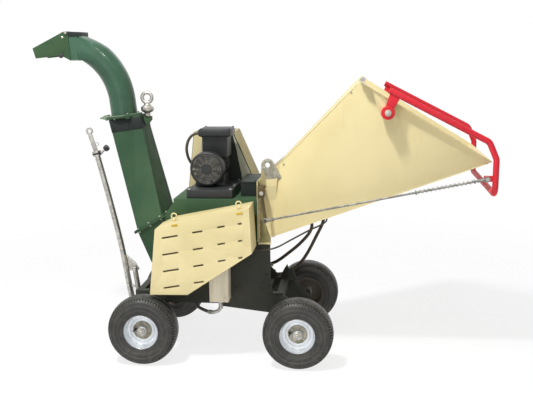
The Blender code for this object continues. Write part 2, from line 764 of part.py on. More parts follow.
def outlet_ring(margin, half, rise):
    along, up = outlet_frame()
    left = Vector(OUTLET_LEFT) + along * margin + up * rise
    right = Vector(OUTLET_RIGHT) - along * margin + up * rise
    return [(left.x, -half, left.y), (right.x, -half, right.y), (right.x, half, right.y),
            (left.x, half, left.y)]


def make_tower():
    top = tower_ring(TOWER_TOP_LEFT, TOWER_TOP_RIGHT, TOWER_TOP_HALF, -PLATE / 2)
    tower = loft("discharge_tower", outlet_ring(0.0, OUTLET_HALF, 0.001), top)
    join(tower, outlet_plate("tower_foot", GAP, PLATE + GAP, 0.018, OUTLET_HALF + 0.018))
    ring = rod("tower_ring", swivel_point(-PLATE), swivel_point(0.0), TOWER_FLANGE_RADIUS, 28)
    lug_x = EYEBOLT_X
    low = SWIVEL[1]
    lug = [(lug_x + 0.026, low - 0.004), (TOWER_TOP_RIGHT - 0.040, low - 0.004),
           (TOWER_TOP_RIGHT - 0.030, low - 0.120),
           (TOWER_TOP_RIGHT + 0.014, low - 0.070), (lug_x + 0.026, low - 0.026)]
    join(tower, ring, prism("eyebolt_lug", lug, -0.013, 0.013))
    inner_top = tower_ring(TOWER_TOP_LEFT + TOWER_SHEET, TOWER_TOP_RIGHT - TOWER_SHEET,
                           TOWER_TOP_HALF - TOWER_SHEET, -PLATE - 0.0005)
    inside = loft("tower_hollow", outlet_ring(TOWER_SHEET, OUTLET_HALF - TOWER_SHEET, -0.010), inner_top)
    cut(tower, inside)
    cut(tower, rod("tower_mouth", swivel_point(-PLATE - 0.01), swivel_point(0.02), CHUTE_RADIUS - 0.010,
                   24))
    own(tower, GREEN)


def make_eyebolt():
    seat = SWIVEL[1] - 0.004 + GAP
    bolt = rod("lifting_eyebolt", (EYEBOLT_X, 0, seat), (EYEBOLT_X, 0, seat + 0.086), EYEBOLT_WIRE, 12)
    join(bolt, rod("eyebolt_collar", (EYEBOLT_X, 0, seat + 0.0001), (EYEBOLT_X, 0, seat + 0.014), 0.019,
                   12))
    steps = 20
    ring_z = seat + 0.086 + EYEBOLT_RING - 0.003
    ring = turned("eyebolt_ring", [(EYEBOLT_RING + EYEBOLT_WIRE * math.cos(a), EYEBOLT_WIRE * math.sin(a))
                                   for a in [2 * math.pi * i / 8 for i in range(8)]],
                  (EYEBOLT_X, 0, ring_z), steps=steps)
    join(bolt, ring)
    own(bolt, ZINC)


def chute_route(extra=0.0):
    """Centre line of the chute: straight, then a bend towards -X."""
    start = swivel_point(PLATE / 2)
    knee = swivel_point(CHUTE_STRAIGHT)
    lean = math.pi / 2 + SWIVEL_TILT
    centre = knee + CHUTE_BEND_RADIUS * Vector((math.cos(lean + math.pi / 2), 0,
                                                math.sin(lean + math.pi / 2)))
    route = [start]
    count = 9
    for i in range(count + 1):
        angle = lean - math.pi / 2 + CHUTE_BEND * i / count
        route.append(centre + CHUTE_BEND_RADIUS * Vector((math.cos(angle), 0, math.sin(angle))))
    if extra:
        route[0] = swivel_point(-extra)
        route.append(route[-1] + (route[-1] - route[-2]).normalized() * extra)
    return route


def make_chute():
    elbow = tube("chute_elbow", chute_route(), CHUTE_RADIUS, 4)
    flange = rod("chute_flange", swivel_point(GAP), swivel_point(PLATE + GAP), CHUTE_FLANGE_RADIUS, 28)
    right = OUTLET_BOX_LEFT + OUTLET_BOX_LENGTH
    half = OUTLET_BOX_HALF
    outer = box("outlet_box", (OUTLET_BOX_LEFT, -half, OUTLET_BOX_LOW), (right, half, OUTLET_BOX_HIGH))
    hinge_x, hinge_z = DEFLECTOR_HINGE
    cap = box("hinge_plate", (hinge_x + 0.003, -half - 0.002, OUTLET_BOX_HIGH - 0.003),
              (right + 0.014, half + 0.002, hinge_z + 0.004))
    barrel = across("hinge_barrel", DEFLECTOR_HINGE, -half, half, 0.009, 12)
    join(elbow, flange, outer, cap, barrel)
    wall = TOWER_SHEET
    cut(elbow, tube("chute_bore", chute_route(0.02), CHUTE_RADIUS - wall, 4))
    cut(elbow, box("outlet_bore", (OUTLET_BOX_LEFT - 0.02, wall - half, OUTLET_BOX_LOW + wall),
                   (right - wall, half - wall, OUTLET_BOX_HIGH - wall)))
    cut(elbow, across("hinge_bore", DEFLECTOR_HINGE, -half - 0.02, half + 0.02, around(0.005, 12), 12))
    base = swivel_point(0.0)
    set_origin(elbow, base)
    own(elbow, GREEN)


def make_deflector():
    hinge_x, hinge_z = DEFLECTOR_HINGE
    half = OUTLET_BOX_HALF + 0.0025
    wall = TOWER_SHEET
    slope = math.radians(25.5)
    tip_x = hinge_x - DEFLECTOR_REACH
    fall = DEFLECTOR_REACH * math.tan(slope)
    outline = [(tip_x + 0.017, hinge_z - fall - 0.048), (hinge_x - 0.036, OUTLET_BOX_LOW + 0.010),
               (hinge_x + 0.022, OUTLET_BOX_LOW - 0.003), (hinge_x + 0.011, hinge_z + 0.006),
               (hinge_x - 0.016, hinge_z + 0.006), (tip_x, hinge_z - fall + 0.012)]
    hood = prism("chute_deflector", outline, -half - wall, half + wall)
    depths = [-0.02, -0.02, -0.03, -0.02, wall, -0.02]
    inside = inset(outline, depths)
    cut(hood, prism("hood_hollow", inside, -half, half))
    cut(hood, box("hinge_clearance", (hinge_x - 0.0105, -half, hinge_z - 0.02),
                  (hinge_x + 0.03, half, hinge_z + 0.03)))
    join(hood, across("hinge_pin", DEFLECTOR_HINGE, -half - wall - 0.004, half + wall + 0.004, 0.005, 12))
    set_origin(hood, (hinge_x, 0, hinge_z))
    own(hood, GREEN)


def make_motor():
    centre = (MOTOR_X, 0, MOTOR_Z)
    face = HOUSING_HALF - GAP
    bore = around(MOTOR_SHAFT, 28)
    housing = turned("motor_housing", [(MOTOR_RADIUS, MOTOR_BACK), (MOTOR_RADIUS, face), (bore, face),
                                       (bore, face - 0.015), (MOTOR_BORE, face - 0.015),
                                       (MOTOR_BORE, MOTOR_BACK)], centre, steps=28)
    own(housing, BLACK_PAINT)
    lap = 0.015
    inner = around(MOTOR_RADIUS, 28)
    cowl = turned("motor_fan_cowl", [(0.0, COWL_FRONT), (COWL_RADIUS, COWL_FRONT),
                                     (COWL_RADIUS, MOTOR_BACK + lap),
                                     (inner, MOTOR_BACK + lap), (inner, COWL_FRONT + 0.004),
                                     (0.0, COWL_FRONT + 0.004)], centre, steps=28)
    own(cowl, BLACK_PAINT)
    core = MOTOR_BORE - 0.001
    outer = PULLEY_Y + PULLEY_WIDTH + 0.005
    shaft = turned("motor_rotor", [(0.0, COWL_FRONT + 0.006), (0.012, COWL_FRONT + 0.006), (0.012, -0.050),
                                   (core, -0.050), (core, 0.120), (MOTOR_SHAFT, 0.120),
                                       (MOTOR_SHAFT, outer),
                                   (0.0, outer)], centre, steps=24)
    own(shaft, STEEL)
    blades = 8
    star = []
    for i in range(blades):
        for radius, share in ((0.030, 0.0), (0.082, 0.12), (0.082, 0.30), (0.030, 0.42)):
            angle = 2 * math.pi * (i + share) / blades
            star.append((MOTOR_X + radius * math.cos(angle), MOTOR_Z + radius * math.sin(angle)))
    bore = circle((MOTOR_X, MOTOR_Z), around(0.012, 12), 12)
    fan = prism("motor_fan", star, COWL_FRONT + 0.010, COWL_FRONT + 0.032, holes=(bore,))
    set_origin(fan, centre)
    own(fan, PLASTIC)
    base = box("motor_base", (-0.212, -0.235, DECK_Z + PLATE + GAP), (0.060, HOUSING_HALF - 0.002, 1.003))
    join(base, box("motor_feet", (-0.192, -0.060, 1.000), (-0.018, 0.135, 1.062)))
    cut(base, across("motor_seat", (MOTOR_X, MOTOR_Z), -0.3, 0.3, inner, 28))
    cut(base, box("foot_gap", (MOTOR_X - 0.040, -0.3, 1.004), (MOTOR_X + 0.040, 0.3, 1.070)))
    own(base, BLACK_PAINT)
    neck = box("terminal_box", (-0.148, -0.050, MOTOR_Z + 0.060), (0.006, 0.095, 1.302))
    lid = box("terminal_lid", (-0.170, -0.072, 1.298), (0.030, 0.112, 1.346))
    bevel = lid.modifiers.new("soft_lid", 'BEVEL')
    bevel.width = 0.014
    bevel.segments = 2
    join(neck, lid)
    cut(neck, across("box_seat", (MOTOR_X, MOTOR_Z), -0.3, 0.3, inner, 28))
    own(neck, BLACK_PAINT)


def make_conduit():
    route = [(-0.1703, 0.02, 1.312), (-0.195, 0.02, 1.311), (-0.222, 0.015, 1.300), (-0.246, 0.008, 1.268),
             (-0.256, 0.0, 1.220), (-0.249, 0.0, 1.170), (-0.232, 0.010, 1.130), (-0.219, 0.040, 1.105),
             (-0.214, 0.085, 1.092), (-0.213, 0.130, 1.090), (-0.213, HOUSING_HALF, 1.090)]
    own(hose("motor_conduit", route, 0.0085), HOSE)


def guard_outline():
    return [(-0.285, 0.460), (0.075, 0.460), (0.075, 0.800), (0.160, 0.965), (0.014, 1.305),
            (-0.245, 1.305),
            (-0.285, 0.960)]


def make_belt_guard():
    outline = guard_outline()
    front = HOUSING_HALF + GAP
    back = front + GUARD_DEPTH
    cover = prism("belt_guard_cover", outline, front, back)
    inside = inset(outline, [SHEET] * len(outline))
    cut(cover, prism("cover_hollow", inside, front - 0.02, back - SHEET))
    own(cover, CREAM)
    room = inset(outline, [SHEET + GAP] * len(outline))
    holes = (circle((ROTOR_X, ROTOR_Z), BEARING_RADIUS + 0.003, 20), circle((MOTOR_X, MOTOR_Z), 0.030, 16))
    plate = prism("belt_guard_plate", room, front, front + 0.004, holes=holes)
    own(plate, GREEN)


def pulley(name, radius, centre, bore):
    groove = radius - GROOVE
    y = PULLEY_Y
    end = y + PULLEY_WIDTH
    rim = 0.0075
    profile = [(radius, y), (radius, y + rim), (groove, y + rim), (groove, end - rim), (radius, end - rim),
               (radius, end), (bore, end), (bore, y)]
    return own(turned(name, profile, (centre[0], 0, centre[1]), steps=20), IRON)


def belt_loop(extra):
    """An open belt round both pulleys, outside their grooves by an extra."""
    low = Vector((ROTOR_X, ROTOR_Z))
    high = Vector((MOTOR_X, MOTOR_Z))
    big = ROTOR_PULLEY - GROOVE + extra
    small = MOTOR_PULLEY - GROOVE + extra
    line = high - low
    lean = math.atan2(line.y, line.x)
    wrap = math.acos((big - small) / line.length)
    points = []
    for i in range(17):
        angle = lean + wrap + (2 * math.pi - 2 * wrap) * i / 16
        points.append((low.x + big * math.cos(angle), low.y + big * math.sin(angle)))
    for i in range(13):
        angle = lean - wrap + 2 * wrap * i / 12
        points.append((high.x + small * math.cos(angle), high.y + small * math.sin(angle)))
    return points


def make_belt_drive():
    pulley("rotor_pulley", ROTOR_PULLEY, (ROTOR_X, ROTOR_Z), around(SHAFT_RADIUS, 20))
    pulley("motor_pulley", MOTOR_PULLEY, (MOTOR_X, MOTOR_Z), around(MOTOR_SHAFT, 20))
    ease = 0.0012
    belt = prism("drive_belt", belt_loop(ease + BELT_THICK), PULLEY_Y + 0.009,
                 PULLEY_Y + PULLEY_WIDTH - 0.009,
                 holes=(belt_loop(ease),))
    own(belt, HOSE)


def side_guard_outline():
    return [(-0.400, 0.424), (-0.178, 0.428), (0.199, 0.677), (0.187, 0.941), (-0.266, 0.853),
            (-0.357, 0.811)]


def slot_rows():
    """Louvre slots of the side guard: (left x, right x, middle z)."""
    columns = ((-0.318, 0.094, 0.769), (-0.140, 0.060, 0.800), (0.004, 0.044, 0.831), (0.122, 0.024, 0.850))
    rows = []
    pitch = 0.0985
    for i in range(4):
        for j, (left, length, z) in enumerate(columns):
            if i == 3 and j > 1:
                continue
            rows.append((left, left + length, z - pitch * i))
    return rows


def make_side_guard():
    outline = side_guard_outline()
    guard = prism("side_guard", outline, GUARD_FRONT, GUARD_BACK - GAP)
    depths = [-0.05, -0.05, SHEET, SHEET, SHEET, SHEET]
    cut(guard, prism("guard_hollow", inset(outline, depths), GUARD_FRONT + SHEET, GUARD_BACK + 0.02))
    bm = bmesh.new()
    for left, right, z in slot_rows():
        place = Matrix.Translation(((left + right) / 2, GUARD_FRONT, z)) @ Matrix.Rotation(-SLOT_TILT, 4,
                                                                                           'Y')
        size = Matrix.Diagonal((right - left, 0.03, SLOT_HEIGHT, 1.0))
        bmesh.ops.create_cube(bm, size=1.0, matrix=place @ size)
    cut(guard, mesh_from("louvre_slots", bm))
    for x, z in latch_places():
        cut(guard, rod(f"latch_way_{x}", (x, latch_y(), z - 0.03), (x, latch_y(), z + 0.03),
                       around(0.005, 12), 12))
    own(guard, CREAM)


def latch_places():
    """Where the two loop latches stand on the guard's slanted top."""
    outline = side_guard_outline()
    (right_x, right_z), (left_x, left_z) = outline[3], outline[4]
    slope = (right_z - left_z) / (right_x - left_x)
    return [(x, left_z + slope * (x - left_x)) for x in (left_x + 0.018, right_x - 0.062)]


def latch_y():
    return GUARD_FRONT + 0.030


def make_latches():
    for name, (x, z) in zip(("left", "right"), latch_places()):
        y = latch_y()
        stem = rod(f"guard_latch_{name}", (x, y, z - 0.030), (x, y, z + 0.016), 0.005, 12)
        ring_radius = 0.015
        wire = 0.004
        profile = [(ring_radius + wire * math.cos(a),
                    wire * math.sin(a)) for a in [math.pi * i / 3 for i in range(6)]]
        ring = turned(f"latch_ring_{name}", profile, (x, y, z + 0.014 + ring_radius), steps=12)
        foot = rod(f"latch_foot_{name}", (x, y, z + 0.0035), (x, y, z + 0.008), 0.011, 12)
        join(stem, ring, foot)
        set_origin(stem, (x, y, z))
        own(stem, CREAM)


def make_feed_housing():
    low_x, low_z = THROAT_LOW
    high_x, high_z = THROAT_HIGH
    left = HOUSING_BACK + 0.005 + GAP
    outline = [(left, low_z), (low_x, low_z), (high_x, high_z), (0.262, 1.095), (left, 1.050)]
    feed = prism("feed_housing", outline, -FEED_HALF, FEED_HALF)
    join(feed, box("feed_flange", (left, -FLANGE_HALF, low_z - 0.020), (left + PLATE, FLANGE_HALF, 1.056)))
    lx, lz = LUG_CENTRE
    lug = circle(LUG_CENTRE, LUG_RADIUS, 20)
    top = [p for p in lug if p[1] > lz - 0.012]
    top.sort(key=lambda p: math.atan2(p[1] - lz, p[0] - lx))
    base = [(lx - 0.045, lz - 0.120), (lx + 0.042, lz - 0.120), (lx + 0.048, lz - 0.070)]
    join(feed, prism("lug_plate", base + top, -FEED_HALF - 0.012, -FEED_HALF + 0.002))
    cut(feed, across("lug_hole", LUG_CENTRE, -0.3, -0.1, LUG_HOLE, 16))
    depths = [FEED_SHEET, -0.03, FEED_SHEET, FEED_SHEET, -0.03]
    inner = FEED_HALF - FEED_SHEET
    cut(feed, prism("feed_hollow", inset(outline, depths), -inner, inner))
    own(feed, CREAM)


def hopper_root(throat, rim, sign):
    """A throat corner, drawn back a little along its edge so that the end can be trimmed flat."""
    start = Vector((throat[0], sign * FEED_HALF, throat[1]))
    end = Vector((rim[0], sign * HOPPER_HALF, rim[1]))
    return tuple(start - (end - start).normalized() * 0.010)


def make_hopper():
    corners = {}
    for sign in (-1, 1):
        corners["low", sign] = hopper_root(THROAT_LOW, HOPPER_TIP, sign)
        corners["high", sign] = hopper_root(THROAT_HIGH, HOPPER_APEX, sign)
        corners["apex", sign] = (HOPPER_APEX[0], sign * HOPPER_HALF, HOPPER_APEX[1])
        corners["tip", sign] = (HOPPER_TIP[0], sign * HOPPER_HALF, HOPPER_TIP[1])
        corners["apex_lip", sign] = (HOPPER_APEX[0], sign * (HOPPER_HALF + LIP_AT_APEX), HOPPER_APEX[1])
        corners["tip_lip", sign] = (HOPPER_TIP[0], sign * (HOPPER_HALF + LIP_AT_TIP), HOPPER_TIP[1])
    bm = bmesh.new()
    verts = {key: bm.verts.new(place) for key, place in corners.items()}
    faces = [[("low", -1), ("low", 1), ("tip", 1), ("tip", -1)],
             [("high", -1), ("apex", -1), ("apex", 1), ("high", 1)]]
    for sign in (-1, 1):
        sides = [[("low", sign), ("apex", sign), ("high", sign)],
                 [("low", sign), ("tip", sign), ("apex", sign)],
                 [("apex", sign), ("tip", sign), ("tip_lip", sign), ("apex_lip", sign)]]
        faces += sides
    for keys in faces:
        bm.faces.new([verts[key] for key in keys])
    hopper = mesh_from("infeed_hopper", bm)
    middle = hopper.data.polygons[0]
    downward = middle.normal.z < 0
    shell = hopper.modifiers.new("sheet", 'SOLIDIFY')
    shell.thickness = HOPPER_SHEET
    shell.offset = -1.0 if downward else 1.0
    shell.use_even_offset = True
    along = (Vector(THROAT_HIGH) - Vector(THROAT_LOW)).normalized()
    low = Vector(THROAT_LOW) - along * 0.06 + Vector((GAP, 0))
    high = Vector(THROAT_HIGH) + along * 0.06 + Vector((GAP, 0))
    waste = [tuple(low), tuple(high), (high.x - 0.08, high.y), (low.x - 0.08, low.y)]
    cut(hopper, prism("throat_trim", waste, -FEED_HALF - 0.05, FEED_HALF + 0.05))
    px, pz = BAR_PIVOT
    slope = (HOPPER_TIP[1] - HOPPER_APEX[1]) / (HOPPER_TIP[0] - HOPPER_APEX[0])

    def lip_z(x):
        return HOPPER_APEX[1] + slope * (x - HOPPER_APEX[0])

    left_x = px - 0.087
    right_x = px + 0.041
    ear = [(px - 0.044, pz - 0.012), (px - 0.024, pz - 0.037), (px + 0.013, pz - 0.035),
           (px + 0.036, pz - 0.007),
           (right_x, lip_z(right_x) + 0.002), (left_x, lip_z(left_x) + 0.002)]
    for sign in (-1, 1):
        inner = sign * (HOPPER_HALF + 0.0185)
        outer = sign * (HOPPER_HALF + 0.0265)
        join(hopper, prism(f"pivot_ear_{sign}", ear, inner, outer))
        end = sign * (BAR_Y + 0.0163)
        join(hopper, across(f"pivot_pin_{sign}", BAR_PIVOT, outer - sign * 0.004, end, BAR_PIN))
        join(hopper, across(f"pin_head_{sign}", BAR_PIVOT, end - sign * 0.0001, end + sign * 0.007, 0.018,
                            12))
    own(hopper, CREAM)


def bar_route(sign):
    """Centre line of one side of the control bar, ending at the middle of the cross bar."""
    x, z = BAR_PIVOT
    y = sign * BAR_Y
    return [(x + 0.006, y, z + 0.120), (x + 0.537, y, z - 0.158), (x + 0.576, y, z - 0.250),
            (x + 0.574, y, z - 0.442),
            (x + 0.574, 0, z - 0.442)]


def make_control_bar():
    near = bar_route(-1)
    far = bar_route(1)
    route = rounded(near[:-1] + far[-2::-1], 0.050, 3)
    bar = tube("control_bar", route, BAR_TUBE, 2)
    px, pz = BAR_PIVOT
    for sign in (-1, 1):
        inner = sign * (BAR_Y - 0.0175 + 0.0003)
        outer = sign * (BAR_Y + 0.016)
        arm = [(px - 0.020, pz + 0.010), (px + 0.020, pz + 0.002), (px + 0.070, pz + 0.090),
               (px + 0.012, pz + 0.112)]
        join(bar, prism(f"bar_arm_{sign}", arm, sign * (BAR_Y - 0.008), sign * (BAR_Y + 0.008)))
        join(bar, across(f"bar_boss_{sign}", BAR_PIVOT, inner, outer, BAR_BOSS, 20))
        cut(bar, across(f"boss_bore_{sign}", BAR_PIVOT, inner - sign * 0.01, outer + sign * 0.01,
                        around(BAR_PIN)))
    ex, ez = ROD_END
    ear = [(ex - 0.016, ez - 0.016), (ex + 0.050, ez - 0.016), (ex + 0.050, ez + 0.016),
           (ex - 0.016, ez + 0.016)]
    join(bar, prism("rod_ear", ear, -BAR_Y - 0.006, -BAR_Y + 0.006))
    join(bar, across("rod_ear_pin", ROD_END, ROD_END_Y - 0.009, -BAR_Y, LEVER_PIN, 12))
    set_origin(bar, (px, 0, pz))
    own(bar, RED)


def rod_line():
    right = Vector((ROD_END[0], ROD_END_Y, ROD_END[1]))
    left = Vector((LEVER_END[0], -0.2935, LEVER_END[1]))
    return right, left


def make_control_rod():
    right, left = rod_line()
    along = (left - right).normalized()
    eye = 0.016
    bar = rod("control_rod", right + along * 0.012, left - along * 0.012, ROD_RADIUS, 12)
    right_eye = across("right_eye", ROD_END, right.y - 0.0065, right.y + 0.0065, eye, 16)
    left_eye = across("left_eye", LEVER_END, left.y - 0.005, left.y + 0.005, eye, 16)
    join(bar, right_eye, left_eye)
    for i, reach in enumerate((SPRING_FROM - GAP, SPRING_FROM + SPRING_LENGTH + GAP + COLLAR_THICK)):
        face = right + along * reach
        join(bar, rod(f"stop_collar_{i}", face - along * COLLAR_THICK, face, STOP_RADIUS, 12))
    cut(bar, across("right_bore", ROD_END, right.y - 0.02, right.y + 0.02, around(LEVER_PIN, 12), 12))
    cut(bar, across("left_bore", LEVER_END, left.y - 0.02, left.y + 0.02, LEVER_PIN + LEVER_SLACK, 12))
    set_origin(bar, tuple(right))
    own(bar, ZINC)


def make_spring():
    """The spring round the rod, with short straight ends that stand on the rod's two stop collars."""
    right, left = rod_line()
    along = (left - right).normalized()
    side = along.cross(Vector((0, 0, 1))).normalized()
    up = side.cross(along)
    points_a_turn = 8
    start = right + along * SPRING_FROM
    total = SPRING_CURLS * points_a_turn
    lead = 2 * SPRING_WIRE
    route = []
    for i in range(total + 1):
        angle = 2 * math.pi * i / points_a_turn
        along_here = along * (lead + (SPRING_LENGTH - 2 * lead) * i / total)
        route.append(start + along_here + SPRING_RADIUS * (side * math.cos(angle) + up * math.sin(angle)))
    first = route[0] - along * lead
    last = route[-1] + along * lead
    route = [first, *route, last]
    least = min((a - b).length for i, a in enumerate(route) for b in route[i + points_a_turn // 2:])
    print("rod spring: least gap between turns", round((least - 2 * SPRING_WIRE) * 1000, 2), "mm")
    spring = tube("rod_spring", route, SPRING_WIRE, 1)
    set_origin(spring, tuple(right))
    own(spring, STEEL)


def make_valve():
    px, pz = LEVER_PIVOT
    left = HOUSING_BACK + 0.005 + PLATE + 2 * GAP
    valve = box("control_valve", (left, -0.2753, pz - 0.030), (left + 0.052, -FEED_HALF - GAP, pz + 0.035))
    join(valve, across("valve_shaft", LEVER_PIVOT, -0.290, -0.270, 0.008, 12))
    cut(valve, box("lug_room", (left - 0.01, -FEED_HALF - 0.012 - GAP, pz + 0.022),
                   (left + 0.10, -0.1, pz + 0.10)))
    own(valve, BLACK_PAINT)
    pivot = Vector(LEVER_PIVOT)
    end = Vector(LEVER_END)
    down = (end - pivot).normalized()
    side = Vector((-down.y, down.x)) * 0.009
    outline = [tuple(pivot - down * 0.012 - side), tuple(end + down * 0.010 - side),
               tuple(end + down * 0.010 + side),
               tuple(pivot - down * 0.012 + side)]
    lever = prism("valve_lever", outline, -0.2845, -0.2765)
    join(lever, across("lever_hub", LEVER_PIVOT, -0.2885, -0.2757, 0.014, 16))
    join(lever, across("lever_pin", LEVER_END, -0.303, -0.280, LEVER_PIN, 12))
    cut(lever, across("lever_bore", LEVER_PIVOT, -0.30, -0.26, around(0.008, 12), 12))
    set_origin(lever, (px, 0, pz))
    own(lever, ZINC)


def hose(name, points, radius):
    """A round hose whose first and last runs are straight and square to what they meet."""
    return tube(name, [points[0], *smooth(points[1:-1], 4.8 * radius), points[-1]], radius)


def make_hydraulics():
    tank = box("oil_tank", (-0.083, -0.290, 0.335), (0.034, -SIDE_OUTER - GAP, 0.550))
    bevel = tank.modifiers.new("soft_edges", 'BEVEL')
    bevel.width = 0.006
    bevel.segments = 1
    own(tank, ZINC)
    pump = box("hydraulic_pump", (0.095, SIDE_OUTER + GAP, 0.335), (0.190, 0.325, 0.465))
    bevel = pump.modifiers.new("soft_edges", 'BEVEL')
    bevel.width = 0.008
    bevel.segments = 1
    own(pump, IRON)
    routes = {
        "tank_hose": (0.010, [(-0.022, -0.250, 0.3347), (-0.022, -0.250, 0.308), (-0.029, -0.250, 0.280),
                              (-0.055, -0.248, 0.262), (-0.089, -0.238, 0.257), (-0.118, -0.212, 0.255),
                              (-0.155, -0.175, 0.255), (-0.190, -0.130, 0.257), (-0.208, -0.085, 0.270),
                              (-0.212, -0.060, 0.300), (-0.212, -0.055, 0.335),
                              (-0.212, -0.055, HOUSING_FLOOR - GAP)]),
        "pilot_hose": (0.005, [(0.600, -0.140, 0.8427), (0.607, -0.140, 0.828), (0.606, -0.140, 0.806),
                               (0.575, -0.144, 0.783), (0.500, -0.152, 0.748), (0.400, -0.175, 0.697),
                               (0.320, -0.212, 0.660), (0.260, -0.226, 0.646), (0.205, -0.230, 0.643),
                               (0.175, -0.228, 0.643), (0.163, -0.214, 0.643),
                                   (0.163, -SIDE_OUTER - GAP, 0.643)]),
        "pressure_hose": (0.0105, [(0.1743, 0.250, 0.672), (0.195, 0.250, 0.672), (0.285, 0.255, 0.702),
                                   (0.390, 0.262, 0.745), (0.460, 0.266, 0.745), (0.494, 0.266, 0.700),
                                   (0.478, 0.265, 0.640), (0.416, 0.262, 0.568), (0.340, 0.262, 0.503),
                                   (0.270, 0.262, 0.450), (0.215, 0.262, 0.426), (0.1903, 0.262, 0.426)]),
        "return_hose": (0.0105, [(0.1743, 0.298, 0.645), (0.195, 0.298, 0.645), (0.300, 0.300, 0.690),
                                 (0.420, 0.302, 0.765), (0.510, 0.302, 0.790), (0.558, 0.302, 0.760),
                                 (0.564, 0.302, 0.704), (0.519, 0.302, 0.607), (0.466, 0.302, 0.502),
                                 (0.413, 0.302, 0.426), (0.347, 0.302, 0.371), (0.280, 0.302, 0.350),
                                 (0.215, 0.302, 0.357), (0.1903, 0.302, 0.357)]),
    }
    for name, (radius, points) in routes.items():
        own(hose(name, points, radius), HOSE)


def make_starter():
    face = HOUSING_HALF + GAP + GUARD_DEPTH + GAP
    deep = face + 0.065
    starter = box("starter_box", (-0.190, face, 0.985), (-0.020, deep, 1.205))
    inlet = (-0.105, (face + deep) / 2)
    join(starter, rod("inlet_socket", (inlet[0], inlet[1], 0.925), (inlet[0], inlet[1], 0.988), 0.028, 16))
    cut(starter, rod("inlet_recess", (inlet[0], inlet[1], 0.910), (inlet[0], inlet[1], 0.962), 0.022, 16))
    for name, z, material in (("start_button", 1.150, BUTTON_GREEN), ("stop_button", 1.080, BUTTON_RED)):
        x = -0.105
        cut(starter, across(f"{name}_way", (x, z), deep - 0.016, deep + 0.01, around(0.015), 16))
        button = across(name, (x, z), deep - 0.010, deep + 0.005, 0.015, 16)
        set_origin(button, (x, deep, z))
        own(button, material)
    own(starter, PLASTIC)


def stand_on_ground():
    """Move the machine so that its origin is the bottom centre of its bounding box."""
    bpy.context.view_layer.update()
    graph = bpy.context.evaluated_depsgraph_get()
    low = Vector((math.inf,) * 3)
    high = -low
    for thing in PARTS.objects:
        if thing.type != 'MESH':
            continue
        evaluated = thing.evaluated_get(graph)
        for vertex in evaluated.data.vertices:
            place = evaluated.matrix_world @ vertex.co
            low = Vector(map(min, low, place))
            high = Vector(map(max, high, place))
    ROOT.location = (-(low.x + high.x) / 2, -(low.y + high.y) / 2, -low.z)
    bpy.context.view_layer.update()
    print("machine box in metres", [round(v, 4) for v in high - low], "moved by",
          [round(v, 5) for v in ROOT.location])


def main():
    for name, x, sign in (("front_near", FRONT_X, -1), ("front_far", FRONT_X, 1), ("rear_near", REAR_X, -1),
                          ("rear_far", REAR_X, 1)):
        make_wheel(name, x, sign * WHEEL_Y, sign)
    make_chassis()
    make_front_axle()
    make_drawbar()
    make_clamp_handle()
    make_rotor_housing()
    make_rotor()
    make_feed_rollers()
    make_deck()
    make_tower()
    make_eyebolt()
    make_chute()
    make_deflector()
    make_motor()
    make_conduit()
    make_belt_guard()
    make_belt_drive()
    make_side_guard()
    make_latches()
    make_feed_housing()
    make_hopper()
    make_control_bar()
    make_control_rod()
    make_spring()
    make_valve()
    make_hydraulics()
    make_starter()
    stand_on_ground()


main()
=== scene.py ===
"""Looks of the electric garden shredder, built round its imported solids.

Forms are drawn in millimetres in the machine's own frame. When a piece is done, it is set in the model's
frame, in metres. A section is drawn as pairs of radius and height, an outline as pairs of x and z.
"""
import json
from itertools import product
from math import atan2, copysign, cos, hypot, pi, radians, sin, sqrt, tan

import bmesh
import bpy
from mathutils import Matrix, Vector


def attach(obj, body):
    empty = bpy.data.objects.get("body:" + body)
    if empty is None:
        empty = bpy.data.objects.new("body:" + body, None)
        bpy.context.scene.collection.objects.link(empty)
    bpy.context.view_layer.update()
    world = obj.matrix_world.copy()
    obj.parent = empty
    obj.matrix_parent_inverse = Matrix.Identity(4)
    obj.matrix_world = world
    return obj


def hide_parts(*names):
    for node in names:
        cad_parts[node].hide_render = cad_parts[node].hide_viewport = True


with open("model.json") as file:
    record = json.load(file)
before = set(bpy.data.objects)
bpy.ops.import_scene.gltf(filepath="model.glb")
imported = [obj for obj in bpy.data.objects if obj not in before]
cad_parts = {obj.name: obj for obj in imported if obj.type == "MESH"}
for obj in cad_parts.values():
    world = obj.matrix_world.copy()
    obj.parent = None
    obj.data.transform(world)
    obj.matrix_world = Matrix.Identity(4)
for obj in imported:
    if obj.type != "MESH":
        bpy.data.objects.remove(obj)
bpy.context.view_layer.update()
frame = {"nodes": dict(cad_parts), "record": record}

MM = 0.001
SHIFT = -190.84         # the machine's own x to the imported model's x
TO_MODEL = Matrix.Translation((SHIFT * MM, 0.0, 0.0)) @ Matrix.Scale(MM, 4)
SHARP = radians(32)
UP = Vector((0, 0, 1))
ALONG = Vector((1, 0, 0))
ACROSS = Vector((0, 1, 0))
SIDES = (-1, 1)         # near and far


# Materials

def linear(colour):
    """A colour written as 0 to 255 on a screen, as a shader needs it."""
    return [c / 255 / 12.92 if c <= 10 else ((c / 255 + 0.055) / 1.055) ** 2.4 for c in colour]


def dimmed(colour, share):
    return (*[c * share for c in linear(colour)], 1.0)


